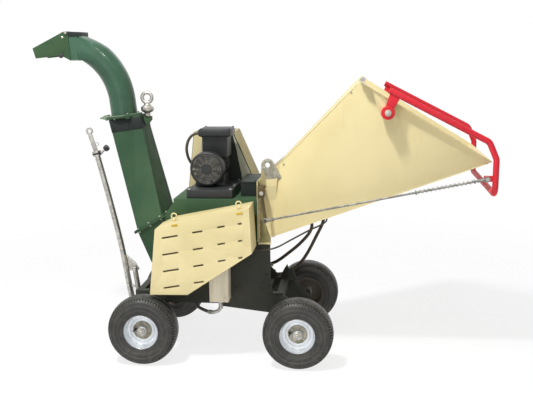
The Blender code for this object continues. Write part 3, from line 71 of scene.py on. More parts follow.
class Nodes:
    """A node tree, put together node by node. Three numbers for a colour are 0 to 255 on a screen."""

    def __init__(self, tree):
        self.tree = tree

    def add(self, kind, inputs=None, **values):
        node = self.tree.nodes.new(kind)
        for key, value in values.items():
            setattr(node, key, value)
        for key, value in (inputs or {}).items():
            self.feed(node.inputs[key], value)
        return node

    def feed(self, socket, value):
        if isinstance(value, bpy.types.NodeSocket):
            self.tree.links.new(value, socket)
        elif socket.type == 'RGBA' and len(value) == 3:
            socket.default_value = (*linear(value), 1.0)
        else:
            socket.default_value = value

    def maths(self, operation, a, b=0.0):
        return self.add("ShaderNodeMath", {0: a, 1: b}, operation=operation).outputs["Value"]

    def end(self, output, share, a, b):
        """Two shaders mixed by a share, as the tree's result."""
        mix = self.add("ShaderNodeMixShader", {0: share, 1: a.outputs[0], 2: b.outputs[0]})
        self.feed(self.tree.nodes[output].inputs["Surface"], mix.outputs[0])


class Finish(Nodes):
    """One procedural material."""

    def __init__(self, name):
        self.material = bpy.data.materials.new(name)
        self.material.use_nodes = True
        super().__init__(self.material.node_tree)
        self.shader = self.tree.nodes["Principled BSDF"]
        self.place = self.add("ShaderNodeTexCoord").outputs["Object"]

    def noise(self, scale, detail=3.0, rough=0.55, stretch=None, warp=0.0):
        place = self.place
        if stretch:
            place = self.add("ShaderNodeMapping", {"Vector": place, "Scale": stretch}).outputs["Vector"]
        inputs = {"Vector": place, "Scale": scale, "Detail": detail, "Roughness": rough, "Distortion": warp}
        return self.add("ShaderNodeTexNoise", inputs).outputs["Fac"]

    def span(self, value, low, high, to_low=0.0, to_high=1.0):
        inputs = {"Value": value, "From Min": low, "From Max": high, "To Min": to_low, "To Max": to_high}
        return self.add("ShaderNodeMapRange", inputs, interpolation_type='SMOOTHSTEP').outputs["Result"]

    def mix(self, share, a, b):
        return self.add("ShaderNodeMix", {"Factor": share, 6: a, 7: b}, data_type='RGBA').outputs[2]

    def height(self):
        return self.add("ShaderNodeSeparateXYZ", {0: self.place}).outputs["Z"]

    def edges(self, radius):
        """1 on outer edges, 0 elsewhere, and the rounded normal."""
        soft = self.add("ShaderNodeBevel", {"Radius": radius}, samples=4).outputs["Normal"]
        plain = self.add("ShaderNodeNewGeometry").outputs["Normal"]
        turned = self.add("ShaderNodeVectorMath", {0: soft, 1: plain}, operation='DOT_PRODUCT')
        return self.span(turned.outputs["Value"], 0.995, 0.90), soft

    def set(self, colour, rough, grain, depth, soft, **values):
        """The shader's inputs, with a grain of some depth over the softened edges."""
        inputs = {"Distance": depth, "Height": grain, "Normal": soft}
        normal = self.add("ShaderNodeBump", inputs).outputs["Normal"]
        for key, value in {"Base_Color": colour, "Roughness": rough, "Normal": normal, **values}.items():
            self.feed(self.shader.inputs[key.replace("_", " ")], value)
        return self.material


def painted(name, light, dark, dirt, bare, roughness, soil=0.35, wear=0.5, coat=0.0, shine=0.5):
    """Enamel on steel: slow colour drift, fine orange peel, dust low down and worn edges."""
    f = Finish(name)
    colour = f.mix(f.span(f.noise(2.3, 4.0), 0.35, 0.68), light, dark)
    speck = f.span(f.noise(160.0, 2.0), 0.60, 0.74, 0.0, 0.10)
    colour = f.mix(speck, colour, dirt)
    low = f.span(f.height(), 1.1, 0.1, 0.25, 1.0)
    grime = f.maths('MULTIPLY', f.span(f.noise(5.5, 9.0, 0.68, warp=0.4), 0.50, 0.80, 0.0, soil), low)
    colour = f.mix(grime, colour, dirt)
    streak = f.span(f.noise(11.0, 5.0, 0.6, stretch=(1.0, 1.0, 0.10)), 0.58, 0.78, 0.0, 0.16)
    colour = f.mix(streak, colour, dirt)
    edge, soft = f.edges(0.0016)
    chips = f.maths('MULTIPLY', edge, f.span(f.noise(55.0, 5.0, 0.7), 0.50, 0.66, 0.0, wear))
    colour = f.mix(chips, colour, bare)
    rough = f.span(f.noise(14.0, 6.0, 0.65), 0.25, 0.75, roughness - 0.07, roughness + 0.10)
    rough = f.maths('ADD', rough, f.maths('MULTIPLY', grime, 0.5))
    wave = f.maths('ADD', f.noise(420.0, 2.0), f.maths('MULTIPLY', f.noise(16.0, 2.0), 6.0))
    return f.set(colour, rough, wave, 0.00012, soft, Coat_Weight=coat, Coat_Roughness=0.10,
                 Specular_IOR_Level=shine)


def plated(name, light, dark, roughness, scale, metallic=1.0, rust=0.10):
    """Zinc plate: crystals of slightly different grey, dull patches and a little rust."""
    f = Finish(name)
    crystal = f.add("ShaderNodeTexVoronoi", {"Vector": f.place, "Scale": scale}, feature='F1')
    tone = f.add("ShaderNodeSeparateColor", {0: crystal.outputs["Color"]}).outputs[0]
    colour = f.mix(f.span(tone, 0.0, 1.0), light, dark)
    cloud = f.span(f.noise(7.0, 6.0, 0.6), 0.40, 0.72, 0.0, 0.55)
    colour = f.mix(cloud, colour, dark)
    spots = f.span(f.noise(34.0, 8.0, 0.7), 0.64, 0.76, 0.0, rust)
    colour = f.mix(spots, colour, (132, 88, 52))
    soft = f.edges(0.0012)[1]
    rough = f.span(f.maths('ADD', f.maths('MULTIPLY', tone, 0.5), cloud), 0.0, 1.0, roughness,
                   roughness + 0.22)
    return f.set(colour, rough, f.noise(300.0, 3.0), 0.00008, soft, Metallic=metallic)


def rubber(name, base, dust, roughness, dusty, edge_highlight=0.0):
    """Rubber with dust low down. Its edges can be painted paler: a painted highlight on the tread's blocks
    and rings.
    """
    f = Finish(name)
    colour = f.mix(f.span(f.noise(6.0, 5.0), 0.3, 0.7), base, dimmed(base, 0.62))
    cloud = f.span(f.noise(19.0, 9.0, 0.7, warp=0.6), 0.42, 0.78, 0.0, dusty)
    low = f.span(f.height(), 0.42, 0.0, 0.45, 1.0)
    colour = f.mix(f.maths('MULTIPLY', cloud, low), colour, dust)
    rough = f.span(f.noise(24.0, 5.0), 0.3, 0.7, roughness - 0.08, roughness + 0.12)
    edge, soft = f.edges(0.0020 if edge_highlight else 0.0008)
    # the paler edges are a painted highlight
    if edge_highlight:
        colour = f.mix(f.maths('MULTIPLY', edge, edge_highlight), colour, (178, 176, 168))
    return f.set(colour, rough, f.noise(520.0, 3.0), 0.00018, soft)


def cast(name, base, light, roughness, metallic):
    """A rough casting with dust on it."""
    f = Finish(name)
    colour = f.mix(f.span(f.noise(12.0, 6.0), 0.35, 0.7), base, light)
    edge, soft = f.edges(0.0015)
    colour = f.mix(f.maths('MULTIPLY', edge, 0.35), colour, (120, 118, 112))
    dust = f.span(f.noise(30.0, 8.0, 0.7), 0.50, 0.80, 0.0, 0.30)
    colour = f.mix(dust, colour, (120, 108, 86))
    grain = f.maths('ADD', f.noise(240.0, 3.0), f.noise(60.0, 2.0))
    rough = f.span(f.noise(18.0, 4.0), 0.3, 0.7, roughness - 0.08, roughness + 0.12)
    return f.set(colour, rough, grain, 0.0003, soft, Metallic=metallic)


def moulded(name, base, roughness):
    """Plastic with a fine grain."""
    f = Finish(name)
    colour = f.mix(f.span(f.noise(9.0, 4.0), 0.3, 0.7), base, dimmed(base, 0.8))
    edge, soft = f.edges(0.001)
    colour = f.mix(f.maths('MULTIPLY', edge, 0.15), colour, (150, 148, 142))
    rough = f.span(f.noise(20.0, 4.0), 0.3, 0.7, roughness - 0.05, roughness + 0.10)
    return f.set(colour, rough, f.noise(260.0, 2.0), 0.0001, soft)


EARTH, SOIL = (138, 120, 88), (92, 84, 66)
CHIP = (128, 138, 122)          # bare primer under the green paint
MATERIALS = {
    "cream_paint": painted("cream_enamel", (224, 209, 158), (217, 202, 149), EARTH, (150, 128, 92),
                           0.46, 0.22, 0.35),
    "green_paint": painted("green_enamel", (66, 92, 64), (50, 76, 56), SOIL, CHIP,
                           0.60, 0.30, 0.40, shine=0.14),
    "green_gloss": painted("glossy_green", (54, 92, 70), (40, 72, 52), SOIL, CHIP,
                           0.34, 0.20, 0.40, 0.42, 0.20),
    "green_shade": painted("shaded_green", (34, 42, 38), (28, 34, 32), SOIL, (90, 96, 88),
                           0.55, 0.20, 0.30, shine=0.25),
    # A pale green: bare metal where paint is worn, and a painted highlight on the chute's flange and a
    # painted reflection under its mouth.
    "green_wear_and_highlight": painted("worn_highlit_green", (122, 138, 118), (92, 112, 92), SOIL, (170, 170, 160),
                         0.42, 0.20),
    "red_paint": painted("red_enamel", (214, 38, 54), (200, 32, 46), SOIL, (120, 60, 52),
                         0.42, 0.12, 0.35, shine=0.35),
    "frame_paint": painted("frame_enamel", (52, 53, 45), (42, 43, 37), SOIL, (100, 96, 84),
                           0.55, 0.45, 0.45, shine=0.3),
    # Dark brown for the valve and its lever: painted shade in the gap between the side guard and the hopper.
    "valve_brown": painted("valve_painted_shade", (98, 84, 54), (74, 64, 44), SOIL, (140, 124, 96),
                           0.6, 0.40, 0.4, shine=0.3),
    "motor_paint": painted("motor_enamel", (46, 48, 48), (36, 38, 39), SOIL, (120, 120, 116),
                           0.44, 0.35, 0.45, shine=0.35),
    "olive_shade": painted("olive_shade", (142, 132, 84), (116, 108, 66), SOIL, (120, 106, 74),
                           0.6, 0.75, 0.20),
    # A pale grey for the belt guard's cream back plate: painted shade beside the motor.
    "guard_plate_painted_shade": painted("guard_plate_painted_shade", (178, 180, 164), (152, 154, 138), EARTH, (140, 130, 104),
                          0.6, 0.60, 0.20),
    # dark brown for the rims' inner side
    "rim_back_brown": painted("rim_back_brown", (116, 108, 96), (88, 80, 70), SOIL, (120, 106, 84), 0.7, 0.70, 0.10),
    # A darker, duller cream: painted shade with some dirt, on the feed housing and the belt guard.
    "cream_in_shade_and_dust": painted("cream_shaded_and_dusty", (180, 168, 124), (160, 148, 106), EARTH, (140, 124, 92),
                          0.6, 0.40, 0.4, shine=0.3),
    "cream_shade": painted("cream_inside", (120, 104, 70), (104, 90, 60), EARTH, (150, 128, 92), 0.6),
    "zinc_plate": plated("zinc_plating", (206, 203, 196), (168, 165, 158), 0.30, 90),
    "rim_silver": plated("silvered_rim", (232, 235, 238), (210, 214, 218), 0.22, 600, 0.80, 0.02),
    "tank_sheet": plated("pale_galvanised", (244, 234, 210), (230, 220, 196), 0.50, 500, 0.08, 0.02),
    "dusty_wire": plated("dusty_wire", (150, 148, 140), (110, 108, 102), 0.46, 60, 0.5, 0.12),
    "grey_lug": plated("worn_lug", (176, 172, 156), (132, 128, 112), 0.48, 70, 0.45, 0.16),
    "bright_steel": plated("machined_steel", (196, 196, 194), (170, 170, 168), 0.22, 220, rust=0.05),
    "yellow_plate": plated("yellow_zinc", (214, 184, 70), (190, 158, 56), 0.34, 90, 0.6),
    # the tyre's paler edges are a painted highlight on the tread
    "tyre_rubber": rubber("tyre_tread", (45, 45, 42), (140, 130, 112), 0.38, 0.24, edge_highlight=0.26),
    "hose_rubber": rubber("hose_cover", (70, 60, 44), (118, 104, 76), 0.48, 0.20),
    "cast_iron": cast("dark_casting", (66, 66, 64), (52, 52, 52), 0.56, 0.35),
    "black_plastic": moulded("black_moulding", (46, 46, 46), 0.46),
    "button_green": moulded("green_button", (40, 150, 70), 0.35),
    "button_red": moulded("red_button", (205, 40, 36), 0.35),
}


# Shape helpers

def square_to(direction):
    """Two directions square to one and to each other."""
    n = Vector(direction).normalized()
    a = n.cross(UP if abs(n.z) < 0.9 else ALONG).normalized()
    return a, n.cross(a)


def around(count, start=0.0):
    """Angles at equal steps round a full turn."""
    return [start + 2 * pi * i / count for i in range(count)]


def spoke(angle):
    """A direction in the plane of the wheels."""
    return Vector((cos(angle), 0, sin(angle)))


def wire_ring(radius, thick, count, height=0.0):
    """The section of a round wire that is bent to a ring."""
    return [(radius + thick * cos(t), height + thick * sin(t)) for t in around(count)]


def smooth_route(points, step):
    """A smooth curve through given points, read off at about equal steps."""
    points = [Vector(p) for p in points]
    padded = [2 * points[0] - points[1], *points, 2 * points[-1] - points[-2]]
    route = [points[0]]
    for a, b, c, d in zip(padded, padded[1:], padded[2:], padded[3:]):
        count = max(1, round((c - b).length / step))
        for i in range(1, count + 1):
            t = i / count
            route.append(0.5 * (2 * b + (c - a) * t + (2 * a - 5 * b + 4 * c - d) * t * t
                                + (3 * b - 3 * c + d - a) * t * t * t))
    return route


def rounded(points, radius, steps):
    """A route whose corners are rounded by arcs."""
    route = [points[0]]
    for before, corner, after in zip(points, points[1:], points[2:]):
        back = (before - corner).normalized()
        ahead = (after - corner).normalized()
        half = back.angle(ahead) / 2
        centre = corner + (back + ahead).normalized() * (radius / sin(half))
        first = corner + back * (radius / tan(half)) - centre
        last = corner + ahead * (radius / tan(half)) - centre
        for i in range(steps + 1):
            route.append(centre + first.slerp(last, i / steps).normalized() * radius)
    return [*route, points[-1]]


class Shape:
    """Gathers closed forms into one mesh: new ones in millimetres, or a solid's own as it is."""

    def __init__(self, mesh=None):
        self.bm = bmesh.new()
        self.placing = Matrix() if mesh else TO_MODEL
        if mesh:
            self.bm.from_mesh(mesh)

    def rings(self, rings, loop=False):
        """A skin over rings of points. It is closed from last to first, or capped at both ends."""
        made = [[self.bm.verts.new(p) for p in ring] for ring in rings]
        pairs = list(zip(made, made[1:]))
        if loop:
            pairs.append((made[-1], made[0]))
        count = len(made[0])
        for low, high in pairs:
            for i in range(count):
                j = (i + 1) % count
                self.bm.faces.new((low[i], low[j], high[j], high[i]))
        if not loop:
            self.bm.faces.new(made[0])
            self.bm.faces.new(made[-1])
        return self

    def turn(self, section, centre, axis=ACROSS, steps=32):
        """A form turned about an axis, from pairs of radius and height."""
        a, b = square_to(axis)
        n = Vector(axis).normalized()
        rings = []
        for angle in around(steps):
            out = a * cos(angle) + b * sin(angle)
            rings.append([Vector(centre) + n * h + out * r for r, h in section])
        return self.rings(rings, loop=True)

    def knob(self, section, centre, axis=ACROSS, steps=32):
        """A turned form without a hole: its section is led to the axis at both ends."""
        line = [(0, section[0][1]), *section]
        if section[-1][0]:
            line.append((0, section[-1][1]))
        return self.turn(line, centre, axis, steps)

    def rod(self, start, end, radius, steps=24, bevel=0.0):
        start, end = Vector(start), Vector(end)
        length = (end - start).length
        section = [(radius - bevel, 0), (radius, bevel), (radius, length - bevel), (radius - bevel, length)]
        return self.knob(section, start, end - start, steps)

    def sweep(self, route, radius, sides=16):
        """A solid round bar along a route, with flat ends. Its radius may be a list, one for each point."""
        side = None
        circles = []
        for i, p in enumerate(route):
            ahead = (route[min(i + 1, len(route) - 1)] - route[max(i - 1, 0)]).normalized()
            side = square_to(ahead)[0] if side is None else (side - ahead * side.dot(ahead)).normalized()
            up = ahead.cross(side)
            r = radius[i] if hasattr(radius, "__len__") else radius
            circles.append([p + (side * cos(t) + up * sin(t)) * r for t in around(sides)])
        return self.rings(circles)

    def box(self, low, high, turn=None):
        low, high = Vector(low), Vector(high)
        matrix = Matrix.Translation((low + high) / 2) @ (turn or Matrix())
        bmesh.ops.create_cube(self.bm, size=1.0, matrix=matrix @ Matrix.Diagonal((*(high - low), 1.0)))
        return self

    def slab(self, outline, y_from, y_to):
        """A plate whose outline is drawn in x and z."""
        return self.rings([[(x, y, z) for x, z in outline] for y in (y_from, y_to)])

    def hexagon(self, base, axis, across_flats, height, turn=0.0):
        """A hexagon head or nut with chamfered corners."""
        a, b = square_to(axis)
        n = Vector(axis).normalized()
        corner = across_flats / sqrt(3)
        cut = corner * 0.1
        return self.rings([[Vector(base) + n * h + (a * cos(t) + b * sin(t)) * r for t in around(6, turn)]
                           for h, r in ((0, corner), (height - cut * 0.6, corner), (height, corner - cut))])

    def bolt(self, base, axis, size=10, turn=0.3):
        """A washer and a hexagon head, by the bolt's thread size."""
        n, base = Vector(axis).normalized(), Vector(base)
        thick = size * 0.2
        self.knob([(size, -thick), (size, thick * 0.8), (size - thick * 0.4, thick)], base, n, 20)
        return self.hexagon(base + n * thick * 0.9, n, size * 1.6, size * 0.6, turn)

    def nut(self, base, axis, size=10, turn=0.3):
        """A bolt's far end: washer, nut and a little thread."""
        n, base = Vector(axis).normalized(), Vector(base)
        self.bolt(base, axis, size, turn)
        return self.rod(base + n * size * 0.4, base + n * size * 1.15, size / 2, 14, size * 0.06)

    def bead(self, start, end, radius):
        """A weld bead between two points."""
        start, end = Vector(start), Vector(end)
        count = max(3, int((end - start).length / (radius * 1.3)))
        route = [start.lerp(end, i / count) for i in range(count + 1)]
        sizes = [radius * (0.45 if i in (0, count) else 1.14 if i % 2 else 0.90) for i in range(count + 1)]
        return self.sweep(route, sizes, 8)

    def done(self, name, body="frame", slot="zinc_plate", look=None, bevel=0.0, segments=2, replaces=(),
             sharp=SHARP):
        """Make the piece, and hang it on its body."""
        bmesh.ops.transform(self.bm, matrix=self.placing, verts=self.bm.verts)
        bmesh.ops.remove_doubles(self.bm, verts=self.bm.verts, dist=1e-6)
        bmesh.ops.dissolve_degenerate(self.bm, edges=self.bm.edges, dist=1e-7)
        bmesh.ops.recalc_face_normals(self.bm, faces=self.bm.faces)
        mesh = bpy.data.meshes.new(name)
        self.bm.to_mesh(mesh)
        self.bm.free()
        piece = bpy.data.objects.new(name, mesh)
        bpy.context.scene.collection.objects.link(piece)
        if bevel:
            soften(piece, bevel * MM, segments)
        mesh = piece.data
        mesh.materials.clear()
        mesh.materials.append(MATERIALS[look or slot])
        mesh.shade_smooth()
        mesh.set_sharp_from_angle(angle=sharp)
        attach(piece, body)
        if replaces:
            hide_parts(*replaces)
        return piece


def soften(piece, width, segments):
    """Round a piece's sharp edges for good."""
    modifier = piece.modifiers.new("edges", 'BEVEL')
    modifier.width = width
    modifier.segments = segments
    modifier.limit_method = 'ANGLE'
    modifier.angle_limit = radians(35)
    modifier.use_clamp_overlap = True
    modifier.harden_normals = False
    graph = bpy.context.evaluated_depsgraph_get()
    mesh = bpy.data.meshes.new_from_object(piece.evaluated_get(graph))
    piece.modifiers.clear()
    piece.data = mesh


SLOT_OF = {row["node"]: row["material_slot"] for row in frame["record"]["subparts"]}
BODY_OF = {node: body for body, nodes in frame["record"]["behaviour"]["bodies"].items() for node in nodes}
for node, thing in frame["nodes"].items():
    thing.data.materials.clear()
    thing.data.materials.append(MATERIALS[SLOT_OF[node]])


def shell(node, name, bevel, segments=2, look=None, moved=None):
    """The solid's own form with clean faces and rounded edges, shown instead of it.

    What moved gives for a vertex is added to its place, in millimetres.
    """
    shape = Shape(frame["nodes"][node].data)
    bmesh.ops.remove_doubles(shape.bm, verts=shape.bm.verts, dist=2e-5)
    for vertex in shape.bm.verts:
        if moved:
            x, y, z = (c / MM for c in vertex.co)
            vertex.co += Vector([c * MM for c in moved(x - SHIFT, y, z)])
    bmesh.ops.dissolve_limit(shape.bm, angle_limit=radians(1), verts=shape.bm.verts, edges=shape.bm.edges)
    return shape.done(name, BODY_OF[node], SLOT_OF[node], look, bevel, segments, (node,))


# Wheels

FRONT_X, REAR_X, WHEEL_Y, TYRE_RADIUS = -455.5, 455.5, 420, 205
LUGS = 72
LUG_STEPS = ((0, False), (0.50, False), (0.55, True), (0.95, True))     # share of a pitch, in a groove
# Half of a tyre's outer line from bead to crown, by zone
TYRE_SECTION = (
    ("side", ((103, 52), (102.6, 60), (103.6, 63.2), (106, 64.4), (111, 65), (114.5, 65.8), (117.5, 66.8),
              (122.5, 69), (129, 70.8), (129.7, 71.7), (134.5, 73), (135.2, 72.5), (146, 74.2), (156, 74.4),
              (156.7, 75.2), (161.2, 75.2), (161.9, 74.3), (170, 73.2), (178, 70.6), (183.2, 68.2))),
    ("lug", ((183.8, 67.8), (190, 63.6), (195, 58), (198.5, 51), (200.8, 45))),
    ("edge", ((201.1, 44),)),
    ("floor", ((201.3, 43), (202.1, 39))),
    ("rib", ((202.3, 38), (203.5, 29), (204, 24))),
    ("floor", ((204.1, 23), (204.3, 19))),
    ("rib", ((204.4, 18), (204.9, 9), (205, 0))))
TYRE_LINER = [(103, 48), (125, 59), (160, 63), (186, 52), (193, 25)]
DISH_FACE = [(33, 16.2), (40, 16), (49, 16.4), (53, 17.6)]      # the darker grey ring round the hub
RIM_LINE = [(99.6, 57.5), (100.4, 59), (101.7, 59.6), (102, 61.2), (101.8, 62.8), (101.2, 63.4),
            (100.4, 62.6), (99.4, 60), (98.6, 55), (96.8, 44), (95, 32), (92.5, 24), (88.5, 18.8),
            (83, 16.8), (76, 16.4), (72.5, 17.6), (69, 20.8), (65, 22.2), (60, 22.2), (56.5, 20.6),
            (53, 17.6), (49, 16.4), (40, 16), (33, 16.2), (29, 17.8), (27.2, 21), (26.4, 26), (26.2, 42),
            (25.4, 43.4), (23.6, 43.8), (18, 43.8), (17.4, 43), (13.4, 43), (13.4, -50), (25, -50),
            (26.2, -49), (26.4, 8), (30, 11.8), (40, 12.2), (52, 13), (65, 18), (78, 12.6), (86, 13),
            (90.5, 10), (93.5, -4), (95.5, -32), (97.5, -50), (99.5, -58), (103, -62), (106.2, -63.4),
            (108, -62.8), (108.6, -61.2), (107.8, -59.6), (104, -59), (101.5, -57.5), (100.5, -40),
            (97.5, 0), (100.5, 40)]
RIM_BACK = RIM_LINE[32:52]      # its inner side, painted dark brown


def make_tyre(label, body, centre):
    section = [(r, w, zone) for zone, points in TYRE_SECTION for r, w in points]
    line = [(r, -w, zone) for r, w, zone in section] + [(r, w, zone) for r, w, zone in section[-2::-1]]
    inner = TYRE_LINER + [(r, -w) for r, w in reversed(TYRE_LINER)]
    rings = []
    for lug, (share, groove) in product(range(LUGS), LUG_STEPS):
        ring = []
        for r, w, zone in line:
            angle = 2 * pi * (lug + share + (0.5 if w > 0 else 0)) / LUGS
            if zone == "rib":
                angle += 0.01 * sin(pi * (abs(w) - 20) / 20)
            if zone == "floor":
                r -= 5.2
            elif groove and zone == "lug":
                r -= 7.2
                w -= copysign(1.2, w)
            elif groove and zone == "rib" and abs(w) > 20:
                r -= 2
            ring.append(centre + spoke(angle) * r + ACROSS * w)
        angle = 2 * pi * (lug + share) / LUGS
        ring += [centre + spoke(angle) * r + ACROSS * w for r, w in inner]
        rings.append(ring)
    tread = Shape().rings(rings, loop=True)
    tread.done(f"tyre_tread_{label}", body, "tyre_rubber", replaces=(f"tyre_{label}",), sharp=radians(40))


def make_rim(label, body, centre, out):
    shape = Shape().turn(RIM_LINE, centre, out, 72)
    for angle in around(4, pi / 4):
        shape.knob([(4.2, -2), (4.2, 1.2), (2.8, 2.6), (0, 3)],
                   centre + spoke(angle) * 80.5 + out * 16.6, out, 12)
    shape.done(f"rim_dish_{label}", body, look="rim_silver", replaces=(f"rim_{label}",))
    dish = [(28.6, 18.2), *DISH_FACE, (55.6, 20)]
    # A darker grey ring laid over the dish round the hub.
    dust = [(r, h + 0.5) for r, h in dish] + [(r, h - 1) for r, h in reversed(dish)]
    Shape().turn(dust, centre, out, 72).done(f"rim_hub_ring_{label}", body, look="grey_lug")
    # The rim's inner side is painted dark brown; the far wheels show this side.
    skin = [(r, h + 0.4) for r, h in RIM_BACK] + [(r - 1, h - 1) for r, h in reversed(RIM_BACK)]
    Shape().turn(skin, centre, out, 72).done(f"rim_back_darkened_{label}", body, look="rim_back_brown")
    valve = Shape().knob([(7.5, -2), (8, 4), (5.2, 12), (4, 30), (4.8, 31), (4.8, 40), (4, 42)],
                         centre + Vector((-43, 0, 4)) + out * 14, out - ALONG * 0.1, 16)
    valve.done(f"valve_stem_{label}", body, "tyre_rubber")


def make_axle_end(shape, centre, out):
    """Nut, washer and split pin over the end of an axle."""
    shape.knob([(23.6, 44.2), (24, 45), (23.6, 46.2)], centre, out, 28)
    shape.hexagon(centre + out * 46, out, 39.2, 12.2, 0.2)
    shape.knob([(11, 57), (11.4, 59), (11.4, 67.5), (10, 69)], centre, out, 20)
    shape.rod(centre + out * 63.2 + UP * 16.5, centre + out * 63.2 - UP * 16.5, 1.7, 8)


def make_wheels():
    steer, fixed = Shape(), Shape()
    for (end, x, nuts), (side, outward) in product((("front", FRONT_X, steer), ("rear", REAR_X, fixed)),
                                                   (("near", -1), ("far", 1))):
        label = f"{end}_{side}"
        centre = Vector((x, outward * WHEEL_Y, TYRE_RADIUS))
        make_tyre(label, f"wheel_{label}", centre)
        make_rim(label, f"wheel_{label}", centre, ACROSS * outward)
        make_axle_end(nuts, centre, ACROSS * outward)
    steer.done("axle_nuts_front", "steering")
    fixed.done("axle_nuts_rear")


# Chute and tower

SWIVEL = (-636, 1423.5)
TILT = radians(6)
SWIVEL_AXIS = Vector((-sin(TILT), 0, cos(TILT)))
OUTLET_LEFT, OUTLET_RIGHT, OUTLET_HALF = Vector((-540, 0, 735)), Vector((-385, 0, 825.5)), 160
OUTLET_RUN = (OUTLET_RIGHT - OUTLET_LEFT).normalized()
OUTLET_RISE = Vector((-OUTLET_RUN.z, 0, OUTLET_RUN.x))
CHUTE_RADIUS, CHUTE_WALL, CHUTE_BEND_RADIUS, CHUTE_BEND = 80, 4, 400, radians(58)
BOX_LEFT, BOX_LOW, BOX_HIGH, BOX_HALF = -936, 1764, 1911, 88
HINGE_X, HINGE_Z = -948, 1925


def swivel_point(distance):
    return Vector((SWIVEL[0], 0, SWIVEL[1])) + SWIVEL_AXIS * distance


def chute_route(count):
    lean = pi / 2 + TILT
    centre = swivel_point(100) + CHUTE_BEND_RADIUS * spoke(lean + pi / 2)
    bend = [centre + CHUTE_BEND_RADIUS * spoke(lean - pi / 2 + CHUTE_BEND * i / count)
            for i in range(count + 1)]
    return [swivel_point(4), swivel_point(50), *bend]


def mouth_point(centre, up, angle, square, thick, depth):
    """A point of the chute's skin, whose round section turns into the square mouth."""
    across, rise = cos(angle), sin(angle)
    round_one = centre + (ACROSS * across + up * rise) * (CHUTE_RADIUS - thick)
    reach = max(abs(across), abs(rise))
    high, half = (BOX_HIGH - BOX_LOW) / 2 - thick, BOX_HALF - thick
    mouth = Vector((BOX_LEFT + depth, half * across / reach, (BOX_HIGH + BOX_LOW) / 2 + high * rise / reach))
    return round_one.lerp(mouth, square)


def make_chute():
    route = chute_route(26)
    outer, inner = [], []
    for i, p in enumerate(route):
        ahead = (route[min(i + 1, len(route) - 1)] - route[max(i - 1, 0)]).normalized()
        up = ACROSS.cross(ahead)
        up = up if up.z + up.x > 0 else -up
        square = min(1, max(0, (i - len(route) + 9) / 7))
        square = square * square * (3 - 2 * square)
        depth = 52 if i < len(route) - 1 else 0
        for line, thick in ((outer, 0), (inner, CHUTE_WALL)):
            line.append([mouth_point(p, up, angle, square, thick, depth) for angle in around(48)])
    pipe = Shape().rings(outer + inner[::-1], loop=True)
    pipe.done("chute_pipe", "chute", "green_paint", "green_gloss", replaces=("chute_elbow",))
    flange = Shape().turn([(77.5, 0), (105.5, 0), (106, 1), (106, 7.2), (105, 8.3), (77.5, 8.3)],
                          swivel_point(0.4), SWIVEL_AXIS, 64)
    # the flange's pale green is a painted highlight along its top
    flange.done("chute_flange", "chute", "green_paint", "green_wear_and_highlight")
    half = BOX_HALF + 2
    cap = Shape().box((HINGE_X + 3, -half, BOX_HIGH - 10), (HINGE_X + 76, half, HINGE_Z + 4))
    cap.rod((HINGE_X, -BOX_HALF, HINGE_Z), (HINGE_X, BOX_HALF, HINGE_Z), 8.8, 20, 1)
    cap.done("hinge_plate", "chute", "green_paint", "green_shade", bevel=1.8)
    lip = Shape().box((BOX_LEFT + 4, -half, BOX_LOW - 3.5), (BOX_LEFT + 60, half, BOX_LOW + 1.5))
    # the lip's pale green is bare metal and a painted reflection
    lip.done("mouth_lip", "chute", "green_paint", "green_wear_and_highlight", bevel=1)


def outlet_point(along, up, y):
    """A point on the slanted outlet's plane, from its left corner."""
    return OUTLET_LEFT + OUTLET_RUN * along + OUTLET_RISE * up + ACROSS * y


def make_tower():
    shell("discharge_tower", "tower_sheet", 1.4)
    shell("rotor_housing", "rotor_casing", 1.6)
    length = (OUTLET_RIGHT - OUTLET_LEFT).length
    bolts, welds = Shape(), Shape()
    spots = [(along, sign * (OUTLET_HALF + 9)) for along in (10, length / 2, length - 10) for sign in SIDES]
    spots += product((-9, length + 9), (-75, 75))
    for i, (along, y) in enumerate(spots):
        bolts.bolt(outlet_point(along, 8.5, y), OUTLET_RISE, 7.5, 0.3 + i)
        bolts.nut(outlet_point(along, -8.3, y), -OUTLET_RISE, 7, 0.9 + i)
    a, b = square_to(SWIVEL_AXIS)
    for i, angle in enumerate(around(8, pi / 8)):
        out = a * cos(angle) + b * sin(angle)
        bolts.nut(swivel_point(-8.2) + out * 99, -SWIVEL_AXIS, 6, 0.4 * i)
    bolts.done("tower_bolts")
    for sign in SIDES:
        y = sign * (OUTLET_HALF + 1)
        welds.bead(outlet_point(1, 9.5, y), outlet_point(length - 1, 9.5, y), 3.2)
    welds.done("tower_welds", slot="green_paint")
    make_chute_clamps()


